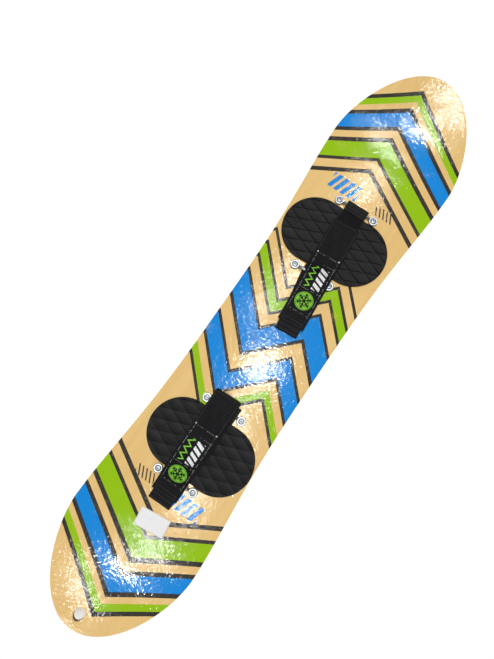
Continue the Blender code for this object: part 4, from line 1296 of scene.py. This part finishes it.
def strap(name, layer, material, body, replaced, slot, corner=0.0, flat_ends=True):
    """A strap's layer as a closed mesh, with the values that its weave is drawn from."""
    total = layer.run[-1]
    by_thickness, by_width = SECTION_SOFT_SHARES
    soft = min(layer.thickness * by_thickness, layer.width * by_width)
    marks = [*np.arange(STRAP_EDGE, total - STRAP_EDGE, ROW_STEP), total - STRAP_EDGE]
    if corner:
        angles = np.radians(np.arange(CORNER_ANGLE_STEP, 90.0, CORNER_ANGLE_STEP))
        marks += [total - corner * (1.0 - math.cos(angle)) for angle in angles]
    marks = sorted(mark for mark in marks if STRAP_EDGE <= mark <= total - STRAP_EDGE)
    kept = marks[:1]
    for mark in marks[1:]:
        if mark - kept[-1] > STRAP_EDGE / 5:
            kept.append(mark)
    stations = [(0.0, END_THIN_SHARE), *((mark, 1.0) for mark in kept), (total, END_THIN_SHARE)]
    rows, weave = [], []
    for run, thin in stations if flat_ends else stations[1:-1]:
        gone = max(0.0, corner - (total - run))
        width = layer.width - 2 * (corner - math.sqrt(corner**2 - gone**2))
        ring = section(width, layer.thickness * thin, soft)
        rows.append([layer.at(run, across, up) for across, up in ring])
        weave += [(run, across, layer.width / 2 - abs(across)) for across, up in ring]
    points, faces = loft(rows)
    return add_piece(name, points, faces, material, body, replaced, {"weave": weave}, SMALL_SHARP_ANGLE)


def on_line(layer, line, share, up=0.0):
    """A place over a layer's face, a share of the way along a line of (run, across) places."""
    run, across = (start + (finish - start) * share for start, finish in zip(*line))
    return layer.at(run, across, layer.thickness / 2 + up)


def stitches(name, layer, lines, material, body):
    """Short threads along lines on a layer, each line from one (run, across) place to another."""
    points, faces = [], []
    around = round_angles(STITCH_SIDES)
    _, pattern = loft(np.zeros((len(STITCH_SHARES), STITCH_SIDES, 3)))
    for line in lines:
        reach = math.dist(*line)
        count = max(1, int(reach / (STITCH_LENGTH + STITCH_GAP)))
        for index in range(count):
            middle = (index + 0.5) / count
            half = 0.5 * STITCH_LENGTH / reach
            first, last = on_line(layer, line, middle - half), on_line(layer, line, middle + half)
            above = on_line(layer, line, middle, STITCH_PROBE) - on_line(layer, line, middle)
            normal = Vector(above).normalized()
            beside = Vector(last - first).normalized().cross(normal)
            faces += [tuple(len(points) + corner for corner in face) for face in pattern]
            for share, size in STITCH_SHARES:
                sunk = normal * STITCH_RADIUS * (size - STITCH_SINK_SHARE)
                centre = Vector(first).lerp(Vector(last), share) + sunk
                for angle in around:
                    out = beside * math.cos(angle) + normal * math.sin(angle)
                    points.append(centre + out * STITCH_RADIUS * size)
    return add_piece(name, points, faces, material, body, ())


def box_lines(start, finish, reach):
    """The four sides of a box of stitches, as lines of (run, across) places."""
    low, high = ((start, -reach), (finish, -reach)), ((start, reach), (finish, reach))
    return [low, high, *zip(low, high)]


def loop_tape_start(web):
    tail = -BAIL_REACH + TAIL_REACH + 2 * END_INSET
    run = lengths_along(web)
    outermost = int(np.argmin(web[:, 0]))
    past = outermost + int(np.argmax(web[outermost:, 0] > tail))
    return run[past]


def make_straps(side, binding, stuffs):
    closure = side + "_closure"

    def lay(new, old, layer, stuff, body, slot, **shape):
        return strap(f"{side}_{new}", layer, stuffs[stuff], body, (f"{side}_{old}",), slot, **shape)

    web = web_route(binding)
    web_length = lengths_along(web)[-1]
    web_layer = Layer(binding, stretch_of(web, 0.0, web_length - FOLD_CLEAR), WEB_WIDTH, WEB_THICKNESS)
    lay("woven_web", "web", web_layer, "web", "board", "webbing")
    lift = (WEB_THICKNESS + TAPE_THICKNESS) / 2 + FIT_GAP
    tape = raised(stretch_of(web, loop_tape_start(web), LOOP_TAPE_LENGTH), lift)
    tape_layer = Layer(binding, tape, TAPE_WIDTH, TAPE_THICKNESS)
    lay("pile_tape", "loop_tape", tape_layer, "pile", "board", "loop_tape")

    fold_layer = Layer(binding, fold_route(binding), WEB_WIDTH, WEB_THICKNESS)
    fold = lay("web_turn", "fold", fold_layer, "web", None, "webbing", flat_ends=False)
    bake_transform(fold)

    turnback = Layer(binding, turnback_route(binding), WEB_WIDTH, WEB_THICKNESS)
    lay("upper_leg", "turnback", turnback, "web", closure, "webbing")
    flap = stretch_of(flap_route(binding), 0.0, FLAP_LENGTH)
    flap_layer = Layer(binding, flap, FLAP_WIDTH, FLAP_THICKNESS)
    lay("closing_flap", "flap", flap_layer, "flap", closure, "webbing", corner=FLAP_CORNER)
    hook_start = FLAP_LENGTH - END_INSET - HOOK_TAPE_LENGTH
    hook_drop = (FLAP_THICKNESS + TAPE_THICKNESS) / 2 + FIT_GAP
    hooks = raised(stretch_of(flap, hook_start, HOOK_TAPE_LENGTH), hook_drop)
    hook_layer = Layer(binding, hooks, TAPE_WIDTH, TAPE_THICKNESS)
    lay("hook_pad", "hook_tape", hook_layer, "hook", closure, "hook_tape", corner=HOOK_CORNER)
    label_lift = (FLAP_THICKNESS + LABEL_THICKNESS) / 2 + FIT_GAP / 3
    label = raised(stretch_of(flap, LABEL_INSET, LABEL_LENGTH), -label_lift)
    label_layer = Layer(binding, label, LABEL_WIDTH, LABEL_THICKNESS)
    lay("printed_label", "label", label_layer, "label", closure, "label")

    sewn = Layer(binding, flap, FLAP_WIDTH, -FLAP_THICKNESS)
    seam = SEAM_REACH - FOLD_CLEAR
    lines = box_lines(SEAM_STITCH_START, seam + SEAM_STITCH_PAST, SEAM_STITCH_REACH)
    end = FLAP_LENGTH - END_STITCH_INSET
    lines.append(((end, -END_STITCH_REACH), (end, END_STITCH_REACH)))
    past_label = LABEL_INSET + LABEL_LENGTH + END_INSET
    lines += [((past_label, v), (end, v)) for v in (-SIDE_STITCH_REACH, SIDE_STITCH_REACH)]
    stitches(side + "_flap_stitches", sewn, lines, stuffs["thread"], closure)
    on_label = Layer(binding, label, LABEL_WIDTH, -LABEL_THICKNESS)
    end_inset, side_inset = LABEL_STITCH_INSETS
    lines = box_lines(end_inset, LABEL_LENGTH - end_inset, LABEL_WIDTH / 2 - side_inset)
    stitches(side + "_label_stitches", on_label, lines, stuffs["thread"], closure)


def make_sticker(material):
    """A blank price sticker on the deck, as an open sheet that is thickened."""
    turn = Matrix.Rotation(math.radians(STICKER_TURN), 2)
    grid = []
    for v in np.linspace(-1.0, 1.0, STICKER_ROWS + 1):
        line = []
        gone = max(0.0, STICKER_CORNER - (1.0 - abs(v)) * STICKER_WIDTH / 2)
        draw = STICKER_CORNER - math.sqrt(max(0.0, STICKER_CORNER**2 - gone**2))
        for u in np.linspace(-1.0, 1.0, STICKER_COLUMNS + 1):
            x, y = turn @ Vector((v * STICKER_WIDTH / 2, u * (STICKER_LENGTH / 2 - draw)))
            x, y = x + STICKER_CENTRE[0], y + STICKER_CENTRE[1]
            line.append((x, y, DECK_THICKNESS + tip_rise(x) + FIT_GAP / 3))
        grid.append(line)
    points, faces = loft(grid, closed=False, capped=False)
    obj = add_piece("blank_sticker", points, faces, material, "board", ())
    with_settings(obj.modifiers.new("paper", "SOLIDIFY"), thickness=STICKER_THICKNESS, offset=1.0)


# Stage


def stage_strength(tree, plain, shown):
    """A glow's strength: plain where it lights the object, shown where the camera or a mirror looks."""
    path = tree.nodes.new("ShaderNodeLightPath")
    looked = Field(path.outputs["Is Camera Ray"])
    for name in ("Is Glossy Ray", "Is Transmission Ray"):
        looked = looked.or_(Field(path.outputs[name]))
    return looked * (shown - plain) + plain


def make_stage():
    mesh = bpy.data.meshes.new("floor")
    half = FLOOR_SIZE / 2
    turns = ((-1, -1), (1, -1), (1, 1), (-1, 1))
    corners = [(along * half, across * half, -FLOOR_DROP) for along, across in turns]
    mesh.from_pydata(corners, [], [(0, 1, 2, 3)])
    floor = linked("floor", mesh)
    stuff = Stuff("pale_floor")
    x, y, _ = stuff.axes(stuff.spot())
    far = (stuff.distance(x, y, 0.0, 0.0) - FLOOR_FADE_START) / FLOOR_FADE_WIDTH
    glow = far.limited() * (1.0 - FLOOR_GLOW) + FLOOR_GLOW
    stuff.settings(Base_Color=FLOOR_COLOUR, Roughness=0.9, Specular_IOR_Level=0.0, Emission_Color=WHITE,
                   Emission_Strength=stage_strength(stuff.tree, 0.0, glow))
    mesh.materials.append(stuff.material)

    world = bpy.data.worlds.new("studio")
    world.use_nodes = True
    bpy.context.scene.world = world
    background = world.node_tree.nodes["Background"]
    feed(background.inputs["Color"], WHITE)
    feed(background.inputs["Strength"], stage_strength(world.node_tree, WORLD_LIGHT, 1.0))


def make_lamps():
    for index, (x, y, share, size) in enumerate(LAMP_SPOTS):
        spot = Vector((x, y, DECK_THICKNESS + tip_rise(x)))
        normal = Vector((-tip_slope(x), 0.0, 1.0)).normalized()
        seen = (CAMERA_PLACE - spot).normalized()
        back = 2 * normal.dot(seen) * normal - seen
        place = spot + back * ((LAMP_HEIGHT - spot.z) / back.z)
        lamp = bpy.data.lights.new(f"lamp_{index}", "AREA")
        with_settings(lamp, shape="DISK", size=size, energy=LAMP_POWER * share)
        obj = linked(f"lamp_{index}", lamp)
        with_settings(obj, location=place, rotation_euler=back.to_track_quat("Z", "Y").to_euler())


def make_camera():
    camera = bpy.data.cameras.new("camera")
    with_settings(camera, sensor_fit="AUTO", sensor_width=SENSOR_WIDTH, lens=CAMERA_LENS,
                  clip_start=CAMERA_NEAR)
    obj = linked("camera", camera)
    axes = Matrix((CAMERA_RIGHT, CAMERA_UP, CAMERA_BACK)).transposed()
    obj.matrix_world = Matrix.Translation(CAMERA_PLACE) @ axes.to_4x4()
    bpy.context.scene.camera = obj


scene = bpy.context.scene
scene.view_settings.view_transform = "Standard"
make_camera()
make_stage()
make_lamps()

finishes = {
    "web": webbing_stuff("woven_nylon", *WEB_WEAVE),
    "flap": webbing_stuff("close_woven_nylon", *FLAP_WEAVE),
    "pile": pile_stuff("loop_pile", *LOOP_PILE),
    "hook": pile_stuff("hook_nylon", *HOOK_PILE),
    "label": label_stuff(),
    "thread": thread_stuff(),
}
zinc_finish = metal_stuff("bright_zinc", ZINC, ZINC_DULLED)
dull_finish = metal_stuff("dull_zinc", DULL_ZINC, DULL_ZINC_DULLED)
rubber_finish = rubber_stuff()
make_deck(deck_stuff())
for binding_side, binding_sizes in BINDINGS.items():
    make_pad(binding_side, binding_sizes, rubber_finish)
    make_hardware(binding_side, binding_sizes, zinc_finish, dull_finish)
    make_straps(binding_side, binding_sizes, finishes)
make_sticker(paper_stuff())
